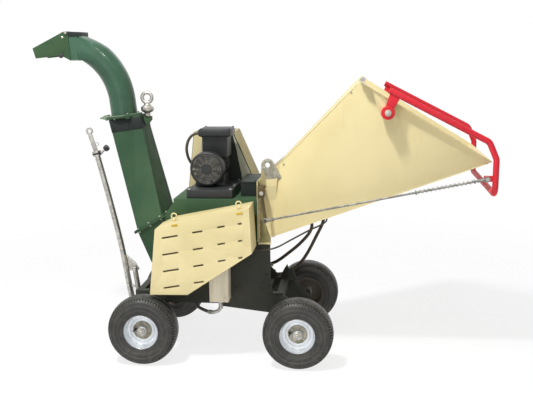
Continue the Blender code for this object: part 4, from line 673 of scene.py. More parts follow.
def make_chute_clamps():
    """Three claws over the chute's flange. The left one has the locking lever."""
    claws, bolts = Shape(), Shape()
    n, base = SWIVEL_AXIS, swivel_point(0)
    ahead = Vector((n.z, 0, -n.x))
    for turn in (pi, pi * 0.36, -pi * 0.36):
        out = (ahead * cos(turn) + ACROSS * sin(turn)).normalized()
        side = n.cross(out)
        for r_from, r_to, h_from, h_to in ((107.2, 122, -17.5, 12.5), (96, 110, 9.4, 13)):
            section = ((r_from, h_from), (r_to, h_from), (r_to, h_to), (r_from, h_to))
            claws.rings([[base + out * r + n * h + side * s for r, h in section] for s in (-13.5, 13.5)])
        bolts.bolt(base + out * 114.6 + n * 12.6, n, 6, turn)
    claws.done("chute_claws", slot="green_paint", bevel=1.4)
    out, side = -ahead, n.cross(-ahead)
    levels = ((98, -17, 17, 16), (122, -14, 15, 15), (142, -6, 8, 10), (158, -4, 3, 5))
    lever = [[swivel_point(h) + out * reach + side * s * half
              for s, h in ((-1, low), (1, low), (1, high), (-1, high))]
             for reach, low, high, half in levels]
    Shape().rings(lever).done("chute_catch", "frame", "green_paint", "green_wear_and_highlight", bevel=1.4)
    bolts.done("claw_bolts")
    # A dark band round the tower's top, just below the swivel flange: the flange's painted shadow.
    tops = [Vector((x, side * 86, SWIVEL[1] - 4 + (x - SWIVEL[0]) * tan(TILT)))
            for x, side in ((-712, -1), (-520, -1), (-520, 1), (-712, 1))]
    feet = [corner + ACROSS * side * OUTLET_HALF for corner, side in
            ((OUTLET_LEFT, -1), (OUTLET_RIGHT, -1), (OUTLET_RIGHT, 1), (OUTLET_LEFT, 1))]
    shadow_rings = []
    for share, grow in ((0.012, 2.4), (0.125, 2.4), (0.125, -1), (0.012, -1)):
        corners = [top.lerp(foot, share) for top, foot in zip(tops, feet)]
        middle = sum(corners, Vector()) / 4
        shadow_rings.append([p + (p - middle).normalized() * grow for p in corners])
    Shape().rings(shadow_rings, loop=True).done("tower_flange_painted_shadow", "frame", "green_paint", "green_shade", bevel=0.8)


def raised_corner(x, y, z):
    """The deflector's lower corner, drawn up."""
    near = abs(x - HINGE_X + 36) < 45 and abs(z - BOX_LOW - 10) < 30
    return 0, 0, 17 if near else 0


def make_hood():
    """Deflector with its hinge bolts and the wing screw that holds its angle."""
    shell("chute_deflector", "deflector_hood", 1.4, moved=raised_corner)
    marks = Shape()
    edge = BOX_HALF + 6.5
    for sign in SIDES:
        out = ACROSS * sign
        marks.bolt((HINGE_X, sign * (edge + 4), HINGE_Z), out, 8.5, 0.4)
        marks.bolt((HINGE_X - 30, sign * (edge + 1.2), HINGE_Z - 136), out, 7, 0.1)
        marks.knob([(7.5, -1), (7, 1.4), (4.6, 3), (0, 3.4)],
                   (HINGE_X - 22, sign * edge, HINGE_Z - 26), out, 16)
    marks.done("hood_bolts", "deflector")
    wing = Shape().knob([(10, 0), (13, 3), (13, 12), (10.5, 14), (0, 14.5)],
                        (HINGE_X - 30, -edge - 8, HINGE_Z - 136), -ACROSS, 24)
    wing.done("hood_knob", "deflector", "black_plastic")


def make_eyebolt():
    seat = Vector((-492, 0, SWIVEL[1] - 3.7))
    shape = Shape().knob([(18.5, 0), (19, 1), (19, 11), (17.5, 13.5), (17, 18), (21, 22), (30, 26),
                          (36.5, 32), (39.2, 40), (39.2, 50), (36.5, 58.5), (30, 64), (22, 68), (19, 74),
                          (18, 86), (0, 88)],
                         seat, UP, 40)
    shape.turn(wire_ring(30, 11, 16), seat + UP * 113, ACROSS, 48)
    shape.done("lifting_eye", replaces=("lifting_eyebolt",))


# Motor

MOTOR_CENTRE = Vector((-105, 0, 1115))
MOTOR_BACK, MOTOR_FACE, MOTOR_FINS = -100, 164.7, 40
FIN_STEPS = ((0, 95.5), (0.30, 95.5), (0.38, 82), (0.92, 82))       # share of a pitch, radius


def make_motor():
    centre = MOTOR_CENTRE
    body, cowl, grille = Shape(), Shape(), Shape()
    rings = []
    for y in (MOTOR_BACK, MOTOR_BACK + 12, MOTOR_FACE - 32):
        ring = []
        for fin, (share, radius) in product(range(MOTOR_FINS), FIN_STEPS):
            reach = min(radius, 86) if y == MOTOR_BACK else radius
            ring.append(centre + spoke(2 * pi * (fin + share) / MOTOR_FINS) * reach + ACROSS * y)
        rings.append(ring)
    body.rings(rings)
    body.turn([(60, 60), (90, 60), (94.5, 66), (95, MOTOR_FACE - 20), (93, MOTOR_FACE - 2), (90, MOTOR_FACE),
               (60, MOTOR_FACE)], centre, ACROSS, 64)
    for angle in (0.6, 2.2, 3.75, 5.35):
        spot = centre + spoke(angle) * 85.5 + ACROSS * 50
        body.rod(spot, spot + ACROSS * 12, 8.5, 14, 1)
        body.hexagon(spot, -ACROSS, 11, 6, angle)
    body.done("motor_fins", "frame", "motor_paint", replaces=("motor_housing",), sharp=radians(28))
    cowl.turn([(96, -85), (101, -85), (102.2, -88), (103, -120), (102.8, -140), (100.5, -149), (95, -153.5),
               (90, -155), (88, -154.5), (88, -152), (93, -150.5), (98, -146.5), (99.8, -139), (100, -110)],
              centre, ACROSS, 72)
    cowl.knob([(24, -155), (28.5, -154.5), (30, -153), (30, -151)], centre, ACROSS, 40)
    for i in range(6):
        grille.turn(wire_ring(84 - 9.5 * i, 1.6, 6, -153.2), centre, ACROSS, 60)
    for angle in around(12):
        grille.sweep([centre - ACROSS * 152 + spoke(angle) * reach for reach in (28, 89.5)], 1.5, 6)
    grille.done("fan_grille", "frame", "motor_paint", "dusty_wire")
    for angle in around(4, pi / 4):
        cowl.knob([(5.2, -0.6), (4.8, 1.8), (2.6, 3), (0, 3.2)], centre - ACROSS * 98 + spoke(angle) * 101.5,
                  spoke(angle), 14)
    cowl.done("motor_cowl", "frame", "motor_paint", replaces=("motor_fan_cowl",))
    shell("motor_base", "motor_bed", 2.5)
    bolts, lid = Shape(), Shape()
    for x, y in product((-172, -38), (-35, 105)):
        bolts.bolt((x, y, 1062.6), UP, 8, x * 0.04)
    for x, y in product((-200, 46), (-215, -60, 140)):
        bolts.bolt((x, y, 1003.6), UP, 9, x * 0.05 + y * 0.001)
    bolts.done("motor_bolts")
    shell("terminal_box", "terminal_case", 4, 3)
    for x, y in product((-151, 19), (-58, 98)):
        lid.knob([(6.2, -1), (6.2, 3), (5, 4.2)], (x, y, 1344.5), UP, 16)
    lid.box((-150, -52, 1293.5), (9, 94, 1298.5))
    lid.done("terminal_screws", slot="motor_paint", bevel=0.4, segments=1)


# Hoses and their ends

# A crimped sleeve, in shares of the hose's radius
SLEEVE = ((1.15, 0), (1.18, 1.4), (1.30, 1.6), (1.32, 2.2), (1.22, 2.35), (1.32, 2.5), (1.32, 3),
          (1.22, 3.15), (1.32, 3.3), (1.32, 3.9), (1.18, 4.1))
GLAND = [(13.5, 0), (13.5, 5), (12, 6), (12, 15), (10.5, 19)]
HOSES = {
    "tank_hose": (10, "medium", [
        (-22, -250, 334.7), (-22, -250, 308), (-29, -250, 280), (-55, -248, 262), (-89, -238, 257),
        (-118, -212, 255), (-155, -175, 255), (-190, -130, 257), (-208, -85, 270), (-212, -60, 300),
        (-212, -55, 335), (-212, -55, 370)]),
    "pilot_hose": (5, "medium", [
        (600, -140, 842.7), (607, -140, 828), (606, -140, 806), (575, -144, 783), (500, -152, 748),
        (400, -175, 697), (320, -212, 660), (260, -226, 646), (205, -230, 643), (175, -228, 643),
        (163, -214, 643), (163, -200.3, 643)]),
    "pressure_hose": (10.5, "stiff", [
        (174.3, 250, 672), (195, 250, 672), (285, 255, 702), (390, 262, 745), (460, 266, 745),
        (494, 266, 700), (478, 265, 640), (416, 262, 568), (340, 262, 503), (270, 262, 450),
        (215, 262, 426), (190.3, 262, 426)]),
    "return_hose": (10.5, "stiff", [
        (174.3, 298, 645), (195, 298, 645), (300, 300, 690), (420, 302, 765), (510, 302, 790),
        (558, 302, 760), (564, 302, 704), (519, 302, 607), (466, 302, 502), (413, 302, 426),
        (347, 302, 371), (280, 302, 350), (215, 302, 357), (190.3, 302, 357)]),
    "motor_conduit": (8.5, "medium", [
        (-170.3, 20, 1312), (-195, 20, 1311), (-222, 15, 1300), (-246, 8, 1268), (-256, 0, 1220),
        (-249, 0, 1170), (-232, 10, 1130), (-219, 40, 1105), (-214, 85, 1092), (-213, 130, 1090),
        (-213, 165, 1090)]),
}


def make_hoses():
    """The hoses and their unions, or the conduit and its two glands."""
    for name, (radius, stiffness, points) in HOSES.items():
        points = [Vector(p) for p in points]
        route = [points[0], *smooth_route(points[1:-1], 12), points[-1]]
        cover = Shape().sweep(route, radius, 20)
        cover = cover.done(f"{name}_cover", "frame", "hose_rubber", replaces=(name,))
        ends = Shape()
        for here, there in ((route[0], route[1]), (route[-1], route[-2])):
            n = (there - here).normalized()
            if name == "motor_conduit":
                ends.knob(GLAND, here - n * 0.5, n, 8)
                continue
            ends.hexagon(here - n, n, radius * 3, radius * 1.1, 0.2)
            ends.knob([(r * radius, h * radius) for r, h in SLEEVE], here + n * radius * 0.8, n, 20)
        if name == "tank_hose":
            ends.sweep(route[2:9], radius * 1.08)
            ends.sweep(route[8:11], radius * 1.32)
        slot = "black_plastic" if name == "motor_conduit" else "zinc_plate"
        unions = ends.done(f"{name}_unions", "frame", slot)
        route = [TO_MODEL @ p for p in route]
        radius *= MM


# Side guard, latches, belt guard and switchgear

GUARD_FRONT = -450
GUARD_LEFT, GUARD_RIGHT = Vector((-266, 853)), Vector((187, 941))       # ends of its slanted top
SLOT_COLUMNS = ((-318, 94, 769), (-140, 60, 800), (4, 44, 831), (122, 24, 850))
SLOT_PITCH, SLOT_TILT = 98.5, radians(10)
LATCH_X = (GUARD_LEFT.x + 18, GUARD_RIGHT.x - 62)


def guard_top(x):
    """Height of the guard's slanted top."""
    return GUARD_LEFT.lerp(GUARD_RIGHT, (x - GUARD_LEFT.x) / (GUARD_RIGHT.x - GUARD_LEFT.x)).y


def make_side_guard():
    shell("side_guard", "guard_sheet", 1.2)
    flaps, brackets, keepers = Shape(), Shape(), Shape()
    lean, deep = radians(38), 12
    turn = Matrix.Rotation(-SLOT_TILT, 4, 'Y') @ Matrix.Rotation(lean, 4, 'X')
    for row, (column, (left, length, z)) in product(range(4), enumerate(SLOT_COLUMNS)):
        if row < 3 or column < 2:
            middle = Vector((left + length / 2, GUARD_FRONT + 3.2 + deep * sin(lean), z - SLOT_PITCH * row))
            size = Vector((length / 2 + 4, 0.6, deep))
            flaps.box(middle - size, middle + size, turn)
    flaps.done("guard_louvre_flaps", "frame", "cream_paint", "cream_shade")
    for x, z in ((-330, 470), (150, 700), (-330, 790)):
        brackets.box((x - 14, -253.5, z - 18), (x + 14, -250.8, z + 18))
    brackets.done("guard_tabs", slot="cream_paint", bevel=0.6)
    slope = atan2(GUARD_RIGHT.y - GUARD_LEFT.y, GUARD_RIGHT.x - GUARD_LEFT.x)
    for x in LATCH_X:
        middle = Vector((x + 8, GUARD_FRONT - 0.6, guard_top(x) - 20))
        size = Vector((18, 0.8, 6.5))
        keepers.box(middle - size, middle + size, Matrix.Rotation(-slope, 4, 'Y'))
        for side in SIDES:
            keepers.knob([(3, -0.4), (2.6, 1.2), (0, 1.6)], middle + spoke(slope) * side * 11 - ACROSS * 0.6,
                         -ACROSS, 12)
    keepers.done("latch_keepers", look="yellow_plate", bevel=0.3)


def make_latches():
    for side, x in zip(("left", "right"), LATCH_X):
        foot = Vector((x, GUARD_FRONT + 30, guard_top(x)))
        shape = Shape().knob([(4.4, -30), (5, -28), (5, 2), (11, 2.2), (11.5, 3), (11.5, 7), (10, 8.2),
                              (6.2, 8.8), (5.4, 14), (0, 15)], foot, UP, 24)
        shape.turn(wire_ring(15.2, 4.1, 12), foot + UP * 28.5, ACROSS, 40)
        shape.done(f"latch_loop_{side}", f"latch_{side}", "cream_paint", replaces=(f"guard_latch_{side}",))


BELT_GUARD = [Vector(p) for p in ((-285, 460), (75, 460), (75, 800), (160, 965), (14, 1305), (-245, 1305),
                                  (-285, 960))]
BELT_GUARD_MIDDLE, BELT_GUARD_FACE = Vector((-100, 900)), 400.3
BACK_PLATE_SKIN = (164.9, 165.2)        # just in front of the guard's back plate
# A louvre's section at its full height: out of the guard's face, then up
HOOD = ((5.2, -9), (4.4, -2), (2.2, 4))


def make_belt_guard():
    # The cover and its louvres take the darker cream: painted shade with some dirt.
    shell("belt_guard_cover", "belt_guard_case", 2.2, 3, "cream_in_shade_and_dust")
    # The back plate's grey is painted shade; the dark slabs on it are the motor's painted shadow.
    shell("belt_guard_plate", "belt_guard_back", 0.8, look="guard_plate_painted_shade")
    bright, dark, screws, hoods = Shape(), Shape(), Shape(), Shape()
    bright.slab([(-279.5, 957), (-279.2, 962.5), (-240, 1299.5), (-185, 1299.5), (-200, 1200), (-225, 957)],
                *BACK_PLATE_SKIN)
    dark.slab([(-60, 965), (60, 965), (56, 1042), (40, 1120), (26, 1200), (4, 1290), (-60, 1290)],
              *BACK_PLATE_SKIN)
    dark.slab([(5.2, 1299), (11.2, 1299), (121.4, 1042), (115.4, 1042)], *BACK_PLATE_SKIN)
    bright.done("belt_guard_inlay", slot="cream_paint")
    dark.done("belt_guard_shade", "frame", "green_paint", "green_shade")
    for i, corner in enumerate(BELT_GUARD):
        for spot in (corner, (corner + BELT_GUARD[(i + 1) % len(BELT_GUARD)]) / 2):
            place = spot + (BELT_GUARD_MIDDLE - spot).normalized() * 22
            screws.bolt((place.x, BELT_GUARD_FACE + 1.2, place.y), ACROSS, 6, 0.5 * i)
    for i in range(4):
        screws.bolt((-225 + 85 * i, 200, 1306.2), UP, 6, 0.4 * i)
    screws.done("belt_guard_screws")
    for row, (left, right) in product(range(7), ((-235, -145), (-105, -15))):
        z = 540 + 34 * row
        hoods.rings([[(x, BELT_GUARD_FACE - 0.6, z - 10),
                      *[(x, BELT_GUARD_FACE + out * share, z + up) for out, up in HOOD],
                      (x, BELT_GUARD_FACE - 0.6, z + 8)]
                     for x, share in ((left, 0.25), (left + 10, 0.9), (right - 10, 0.9), (right, 0.25))])
    hoods.done("belt_guard_louvres", "frame", "cream_paint", "cream_in_shade_and_dust")


STARTER_FACE, STARTER_X, INLET_Y = 465.6, -105, 433.1


def make_starter():
    shell("starter_box", "starter_case", 3.5, 3)
    trim, pins = Shape(), Shape()
    trim.box((-184, STARTER_FACE - 2, 991), (-26, STARTER_FACE + 1.6, 1040))
    for word, z, slot in (("start", 1150, "button_green"), ("stop", 1080, "button_red")):
        spot = (STARTER_X, STARTER_FACE, z)
        trim.turn([(15.8, -1), (20.5, -1), (21, 1.4), (20, 3), (16.5, 3.4), (15.8, 2.4)], spot, ACROSS, 36)
        cap = Shape().knob([(14.5, -10), (14.9, -9), (14.9, 3.8), (14.1, 4.7), (11, 4.6), (0, 4.2)],
                           spot, ACROSS, 36)
        cap.done(f"{word}_button_cap", f"button_{word}", slot, replaces=(f"{word}_button",))
    for dx, z in product((-76, 76), (996, 1194)):
        trim.knob([(4.2, -1), (4.2, 1.4), (3, 2)], (STARTER_X + dx, STARTER_FACE, z), ACROSS, 14)
    trim.done("starter_trim", slot="black_plastic", bevel=0.4)
    for angle in around(5):
        foot = Vector((STARTER_X + 12.5 * cos(angle), INLET_Y + 12.5 * sin(angle), 963))
        pins.knob([(2.6, 0), (2.6, 26), (1.8, 28)], foot, -UP, 12)
    pins.done("inlet_pins")
    collar = Shape().turn([(27.5, 0), (30, 0.5), (30.5, 3), (30.5, 9), (29.5, 11.5), (27.5, 12)],
                          (STARTER_X, INLET_Y, 926), UP, 40)
    collar.done("inlet_collar", slot="black_plastic")


# Feed housing and hopper

FEED_HALF = 205
HOPPER = {"low": (277.7, FEED_HALF, 718), "high": (335, FEED_HALF, 1155), "apex": (800, 400, 1634),
          "tip": (1506, 400, 1195)}
LUG_X, LUG_Z, LUG_REACH, LUG_HOLE = 268, 1150, 36.6, 14.9


def on_hopper(sign, **shares):
    """A point of the hopper as a mix of its corners, on one side."""
    spot = Vector()
    for key, share in shares.items():
        x, y, z = HOPPER[key]
        spot += share * Vector((x, sign * y, z))
    return spot


def hopper_side(sign, *keys):
    """Outward direction of one flat side, from three of its corners."""
    a, b, c = (on_hopper(sign, **{key: 1}) for key in keys)
    n = (b - a).cross(c - a).normalized()
    return n if n.y * sign > 0 else -n


def make_lug():
    """The lifting lug's plate: a rounded outline round its hole."""
    left, right = Vector((-6, -84)), Vector((84, -76))
    edge = [Vector((cos(t), sin(t))) * LUG_REACH for t in [radians(22 + 176 * i / 24) for i in range(25)]]
    for start, end in ((edge[-1], left), (left, right), (right, edge[0])):
        edge += [start.lerp(end, i / 8) for i in range(1, 9)]
    edge.pop()
    hole = [p.normalized() * LUG_HOLE for p in edge]
    rings = [[(LUG_X + p.x, y - FEED_HALF, LUG_Z + p.y) for p in line]
             for line, y in ((edge, -13.8), (edge, 2.8), (hole, 2.8), (hole, -13.8))]
    Shape().rings(rings, loop=True).done("lug_plate", "frame", "cream_paint", "grey_lug", bevel=0.8)


def make_feed_housing():
    # The housing's darker cream is painted shade between the side guard and the hopper.
    shell("feed_housing", "feed_case", 1.2, look="cream_in_shade_and_dust")
    make_lug()
    near = -FEED_HALF
    cheek, skirt, edging, bolts, welds = (Shape() for _ in range(5))
    cheek.slab([(278, 718.5), (301, 718.5), (334.5, 1153), (262, 1093.5), (241, 1079.5), (243, 821)],
               near - 1.8, near - 0.4)
    wedge = ((930, 313, 0.6), (1031, 320.575, 13.6), (1078, 324.1, 13.6))
    for ends in zip(wedge, wedge[1:]):
        cheek.rings([[(x, near - out, z) for x, out in ((259, 0.2), (259, y), (right, y), (right, 0.2))]
                     for z, right, y in ends])
    cheek.done("feed_cheek", slot="cream_paint", bevel=0.4, segments=1)
    skirt.box((206, near - 1.8, 684), (280, near + 3, 719))
    skirt.slab([(206, 719), (277.5, 719), (243, 821), (206, 821)], near - 1.4, near - 0.4)
    skirt.done("feed_skirt", "frame", "cream_paint", "olive_shade", bevel=0.4)
    edging.box((206, near - 3.2, 674), (282, near + 3.4, 685))
    edging.done("feed_skirt_edge", slot="cream_paint", bevel=1)
    for sign, heights in ((-1, (722, 800, 878, 940)), (1, (722, 800, 878, 956, 1034))):
        for i, z in enumerate(heights):
            bolts.bolt((214.5, sign * 228, z), ALONG, 8, 0.5 * i)
    bolts.done("feed_bolts")
    for sign in SIDES:
        y = sign * (FEED_HALF + 0.8)
        welds.bead((214.5, y, 722), (214.5, y, 950), 2.8)
        welds.bead(on_hopper(sign, high=0.98, low=0.02), on_hopper(sign, low=0.98, high=0.02), 2.6)
    welds.done("feed_welds", slot="cream_paint")


def make_hopper():
    shell("infeed_hopper", "hopper_sheet", 1.1)
    details, welds = Shape(), Shape()
    for sign in SIDES:
        side = hopper_side(sign, "low", "high", "apex")
        for shares in ({"apex": 0.90, "high": 0.075, "low": 0.025},
                       {"high": 0.86, "apex": 0.07, "low": 0.07}):
            details.bolt(on_hopper(sign, **shares) + side * 1.2, side, 6.2, 0.3)
        welds.bead(on_hopper(sign, low=0.99, tip=0.01), on_hopper(sign, tip=0.985, low=0.015), 2.4)
        welds.bead(on_hopper(sign, high=0.99, apex=0.01), on_hopper(sign, apex=0.975, high=0.025), 2.4)
        details.knob([(15, -1), (16, 0.6), (15, 2.4), (10.5, 4), (0, 4.6)], (949, sign * 468.5, 1467),
                     ACROSS * sign, 28)
    hook = on_hopper(-1, apex=1)
    run = (on_hopper(-1, tip=1) - hook).normalized()
    rise = run.cross(ACROSS)
    rise = rise if rise.z > 0 else -rise
    clip = ((-4, -4), (34, -4), (34, 4), (22, 8), (20, 24), (12, 34), (2, 30), (-10, 12))
    foot = ((-4, 0.2), (34, 0.2), (34, 3.6), (-4, 3.6))
    for outline, sides in ((clip, (-20, -16)), (foot, (-19, 12))):
        details.rings([[hook + run * along + rise * up + ACROSS * y for along, up in outline]
                       for y in sides])
    details.bolt(hook + run * 18 + rise * 4.4 + ACROSS, rise, 5.5, 0.2)
    details.done("hopper_fixings", sharp=radians(28))
    welds.done("hopper_welds", slot="cream_paint")


# Control bar, rod, spring, lever and valve

BAR_X, BAR_Z, BAR_Y, BAR_TUBE = 949, 1467, 445, 16.8
ROD_END, LEVER_END = Vector((1478, -463, 1112)), Vector((259, -293.5, 836))
LEVER_X, LEVER_Z = 238, 995
SPRING_FROM, SPRING_LENGTH, SPRING_CURLS, SPRING_RADIUS, SPRING_WIRE = 70, 310, 13, 10.5, 1.5


def bar_side(sign):
    return [Vector((BAR_X + x, sign * BAR_Y, BAR_Z + z)) for x, z in
            ((6, 120), (537, -158), (576, -250), (574, -442))]


def make_control_bar():
    arms, welds, pin = Shape(), Shape(), Shape()
    route = rounded(bar_side(-1) + bar_side(1)[::-1], 50, 9)
    ahead, behind = (route[1] - route[0]).normalized(), (route[-1] - route[-2]).normalized()
    sizes = [BAR_TUBE - 1.5, *[BAR_TUBE] * len(route), BAR_TUBE - 1.5]
    route = [route[0], route[0] + ahead * 1.5, *route[1:-1], route[-1] - behind * 1.5, route[-1]]
    Shape().sweep(route, sizes, 28).done("bar_tube", "feed_bar", "red_paint", replaces=("control_bar",))
    for sign in SIDES:
        arms.slab([(BAR_X - 20, BAR_Z + 10), (BAR_X + 20, BAR_Z + 2), (BAR_X + 70, BAR_Z + 90),
                   (BAR_X + 12, BAR_Z + 112)], sign * (BAR_Y - 8), sign * (BAR_Y + 8))
        arms.turn([(12.3, -17.2), (34.5, -17.2), (37, -15), (37, 13.5), (34.5, 16), (19, 16), (17.5, 15),
                   (12.3, 15)], (BAR_X, sign * BAR_Y, BAR_Z), ACROSS * sign, 48)
        for along in (20, 62):
            spot = bar_side(sign)[0].lerp(bar_side(sign)[1], along / 600) - UP * 15 + ACROSS * sign * 8.5
            welds.bead(spot - ALONG * 8, spot + ALONG * 16, 3)
    x, y, z = ROD_END
    corners = [(x - 16, z - 16), (x + 50, z - 16), (x + 50, z + 16), (x - 16, z + 16)]
    arms.slab(corners, -BAR_Y - 6, -BAR_Y + 6)
    arms.done("bar_arms", "feed_bar", "red_paint", bevel=1.8, segments=3)
    for out in (-6.2, 6.2):
        welds.bead((x + 30, out - BAR_Y, z - 14), (x + 30, out - BAR_Y, z + 14), 2.8)
    welds.done("bar_welds", "feed_bar", "red_paint")
    pin.rod((x, y - 8.5, z), (x, -BAR_Y, z), 5, 20, 0.6)
    pin.turn([(5.2, 0), (9.8, 0), (10, 1.2), (5.2, 1.2)], (x, y - 7.5, z), -ACROSS, 20)
    pin.done("rod_eye_pin", "feed_bar")


def make_control_rod():
    """The rod with its two eyes, necks and spring collars, and the spring."""
    along, length = (LEVER_END - ROD_END).normalized(), (LEVER_END - ROD_END).length
    rod = Shape().sweep([ROD_END + along * 13.5, ROD_END + along * (length - 13.5)], 6, 20)
    for eye, neck, bore, size in ((ROD_END, along, 5.2, 6.5), (LEVER_END, -along, 7.5, 5)):
        half = [(bore, size), (14.8, size), (16, size - 1.2)]
        rod.turn([(r, -h) for r, h in half] + half[::-1], eye, ACROSS, 36)
        rod.knob([(10, 10), (10, 24), (8, 30), (8, 42), (6.2, 44)], eye, neck, 20)
        rod.hexagon(eye + neck * 44, neck, 17, 8, 0.4)
    for reach in (SPRING_FROM - 6.3, SPRING_FROM + SPRING_LENGTH + 0.3):
        rod.knob([(12, 0), (13, 0.8), (13, 5.2), (12, 6)], ROD_END + along * reach, along, 24)
    rod.done("rod_bar", "feed_rod", look="dusty_wire", replaces=("control_rod",))
    side = along.cross(UP).normalized()
    up = side.cross(along)
    lead, steps = 2 * SPRING_WIRE, 16 * SPRING_CURLS
    route = []
    for i in range(steps + 1):
        angle = 2 * pi * i / 16
        place = ROD_END + along * (SPRING_FROM + lead + (SPRING_LENGTH - 2 * lead) * i / steps)
        route.append(place + SPRING_RADIUS * (side * cos(angle) + up * sin(angle)))
    route = [route[0] - along * lead, *route, route[-1] + along * lead]
    coil = Shape().sweep(route, SPRING_WIRE, 10)
    coil.done("spring_coil", "feed_rod", "bright_steel", replaces=("rod_spring",))


def slimmer_valve(x, y, z):
    """The block's right side and face drawn in, and its spindle made thinner than the lever's bore."""
    x, z = x - LEVER_X, z - LEVER_Z
    thinner = 0.06 if hypot(x, z) < 8.5 else 0
    return (-16.5 if x > 20 else 0) - x * thinner, 2.4 if -276 < y < -274.5 else 0, -z * thinner


def make_valve():
    # Block and lever take the dark brown: painted shade beside the hopper.
    shell("control_valve", "valve_block", 1.6, look="valve_brown", moved=slimmer_valve)
    shell("valve_lever", "lever_plate", 1, look="valve_brown")
    fixings = Shape().knob([(11.8, 0), (12, 1.2), (0, 1.4)], (LEVER_X, -290.4, LEVER_Z), -ACROSS, 24)
    fixings.hexagon((LEVER_X, -291.4, LEVER_Z), -ACROSS, 13, 5.5, 0.2)
    for dx in (-10, 8):
        spot = Vector((LEVER_X + dx, -242, LEVER_Z - 29.5))
        fixings.hexagon(spot, -UP, 13, 9, dx * 0.04)
        fixings.rod(spot - UP * 6.5, spot - UP * 18.5, 5.2, 16, 1)
    fixings.done("valve_fixings")


# Drawbar and its clamp

DRAWBAR_LINE = [Vector((x, 0, z)) for x, z in
                ((-632, 215), (-649, 297), (-694, 592), (-757, 895), (-824, 1180), (-829, 1203))]
DRAWBAR_RADIUS, COLLAR_RADIUS, COLLAR_LENGTH = 18, 27, 30
DRAWBAR_FOOT, DRAWBAR_TOP = DRAWBAR_LINE[0], DRAWBAR_LINE[-1]
DRAWBAR_LEAN = (DRAWBAR_TOP - DRAWBAR_LINE[-2]).normalized()
DRAWBAR_OUT = Vector((DRAWBAR_LEAN.z, 0, -DRAWBAR_LEAN.x))
EYE_X, EYE_Z, EYE_RADIUS, EYE_HOLE = -866, 1329, 25, 11.5


def make_drawbar():
    bar, plates, welds, band, trim = (Shape() for _ in range(5))
    rim = COLLAR_RADIUS - 1.5
    bar.sweep(smooth_route(DRAWBAR_LINE, 35), DRAWBAR_RADIUS, 32)
    bar.knob([(rim, -COLLAR_LENGTH), (COLLAR_RADIUS, 1.5 - COLLAR_LENGTH), (COLLAR_RADIUS, 0.5), (rim, 2)],
             DRAWBAR_TOP, DRAWBAR_LEAN, 40)
    half = [(EYE_HOLE, 8.8), (EYE_HOLE + 1.4, 10), (EYE_RADIUS - 5, 10), (EYE_RADIUS - 3.4, 8)]
    bar.turn([(r, -h) for r, h in half] + half[::-1], (EYE_X, 0, EYE_Z), ACROSS, 48)
    bar.rod(DRAWBAR_FOOT - ACROSS * 34.5, DRAWBAR_FOOT + ACROSS * 34.5, 10, 28, 1)
    bar.rod((-617, 0, 462), (-596, 0, 300), 16, 28, 1)
    bar.done("drawbar_tube", "tow_bar", replaces=("drawbar",))
    x, y, z = DRAWBAR_TOP
    neck = [(EYE_X - 12, EYE_Z - 16), (x - 14, z - 4), (x + 14, z - 4), (EYE_X + 12, EYE_Z - 16)]
    knee = [(-684, 548), (-665, 543), (-610, 495), (-585, 452), (-600, 440), (-660, 440)]
    stay = [(-650, 330), (-600, 330), (-600, 350), (-652, 350)]
    for outline, half in ((neck, 9), (knee, 5), (stay, 6)):
        plates.slab(outline, -half, half)
    plates.done("drawbar_plates", "tow_bar", bevel=1.4, segments=3)
    for sign in SIDES:
        welds.bead((-669, sign * 13.2, 542), (-657, sign * 13.2, 452), 2.6)
        welds.bead((-612, sign * 11, 450), (-604, sign * 11, 476), 2.6)
    welds.done("drawbar_welds", "tow_bar")
    inside, outside, proud = COLLAR_RADIUS - 1, COLLAR_RADIUS + 0.8, COLLAR_RADIUS + 1.2
    half = [(inside, 5.5), (outside, 5.5), (proud, 4.5)]
    strip = [(r, -15 - h) for r, h in half] + [(r, h - 15) for r, h in half[::-1]]
    band.turn(strip, DRAWBAR_TOP, DRAWBAR_LEAN, 40)
    band.done("collar_band", "tow_bar", "black_plastic")
    for sign in SIDES:
        trim.knob([(15, 0), (15.2, 1.4), (0, 1.6)], DRAWBAR_FOOT + ACROSS * sign * 32.2, ACROSS * sign, 28)
    clip = [DRAWBAR_TOP + DRAWBAR_LEAN * h + DRAWBAR_OUT * r - ACROSS * 11 for r, h in
            ((8, 50), (24, 52), (30, 44), (28, 34), (20, 33))]
    trim.sweep(smooth_route(clip, 4.01), 2.2, 10)
    trim.done("drawbar_clip", "tow_bar")


def make_clamp_handle():
    """The clamp's screw and its fluted grip, tilted up."""
    out = DRAWBAR_OUT
    root = DRAWBAR_TOP - DRAWBAR_LEAN * (COLLAR_LENGTH / 2) + out * (COLLAR_RADIUS + 0.3)
    tilted = (out + DRAWBAR_LEAN * 0.5).normalized()
    stem = Shape().knob([(10, 1.8), (10, 8), (0, 9)], root, out, 20)
    stem.rod(root + out * 4, root + out * 4 + tilted * 34, 6.2, 20)
    stem.done("clamp_stem", "tow_clamp")
    up = tilted.cross(ACROSS)
    flutes, knob = 8, []
    for h, size in ((30, 8.5), (31, 13.5), (34, 16.5), (48, 18.2), (56, 17.6), (60, 15), (61.2, 10)):
        waves = [(t, size * (1 + 0.075 * cos(flutes * t))) for t in around(flutes * 8)]
        knob.append([root + tilted * h + (ACROSS * cos(t) + up * sin(t)) * r for t, r in waves])
    Shape().rings(knob).done("clamp_grip", "tow_clamp", "black_plastic", replaces=("clamp_handle",))


# Chassis, front axle, deck and running gear

def trimmed_chassis(x, y, z):
    """The far panel's upper edge drawn in, and the stepped bracket lowered."""
    if y > 188 and abs(x - 275) < 3 and z > 450:
        return -65, 0, 0
    if 150 < y < 190 and 310 < x < 380 and z > 460:
        return 0, 0, -50
    return 0, 0, 0


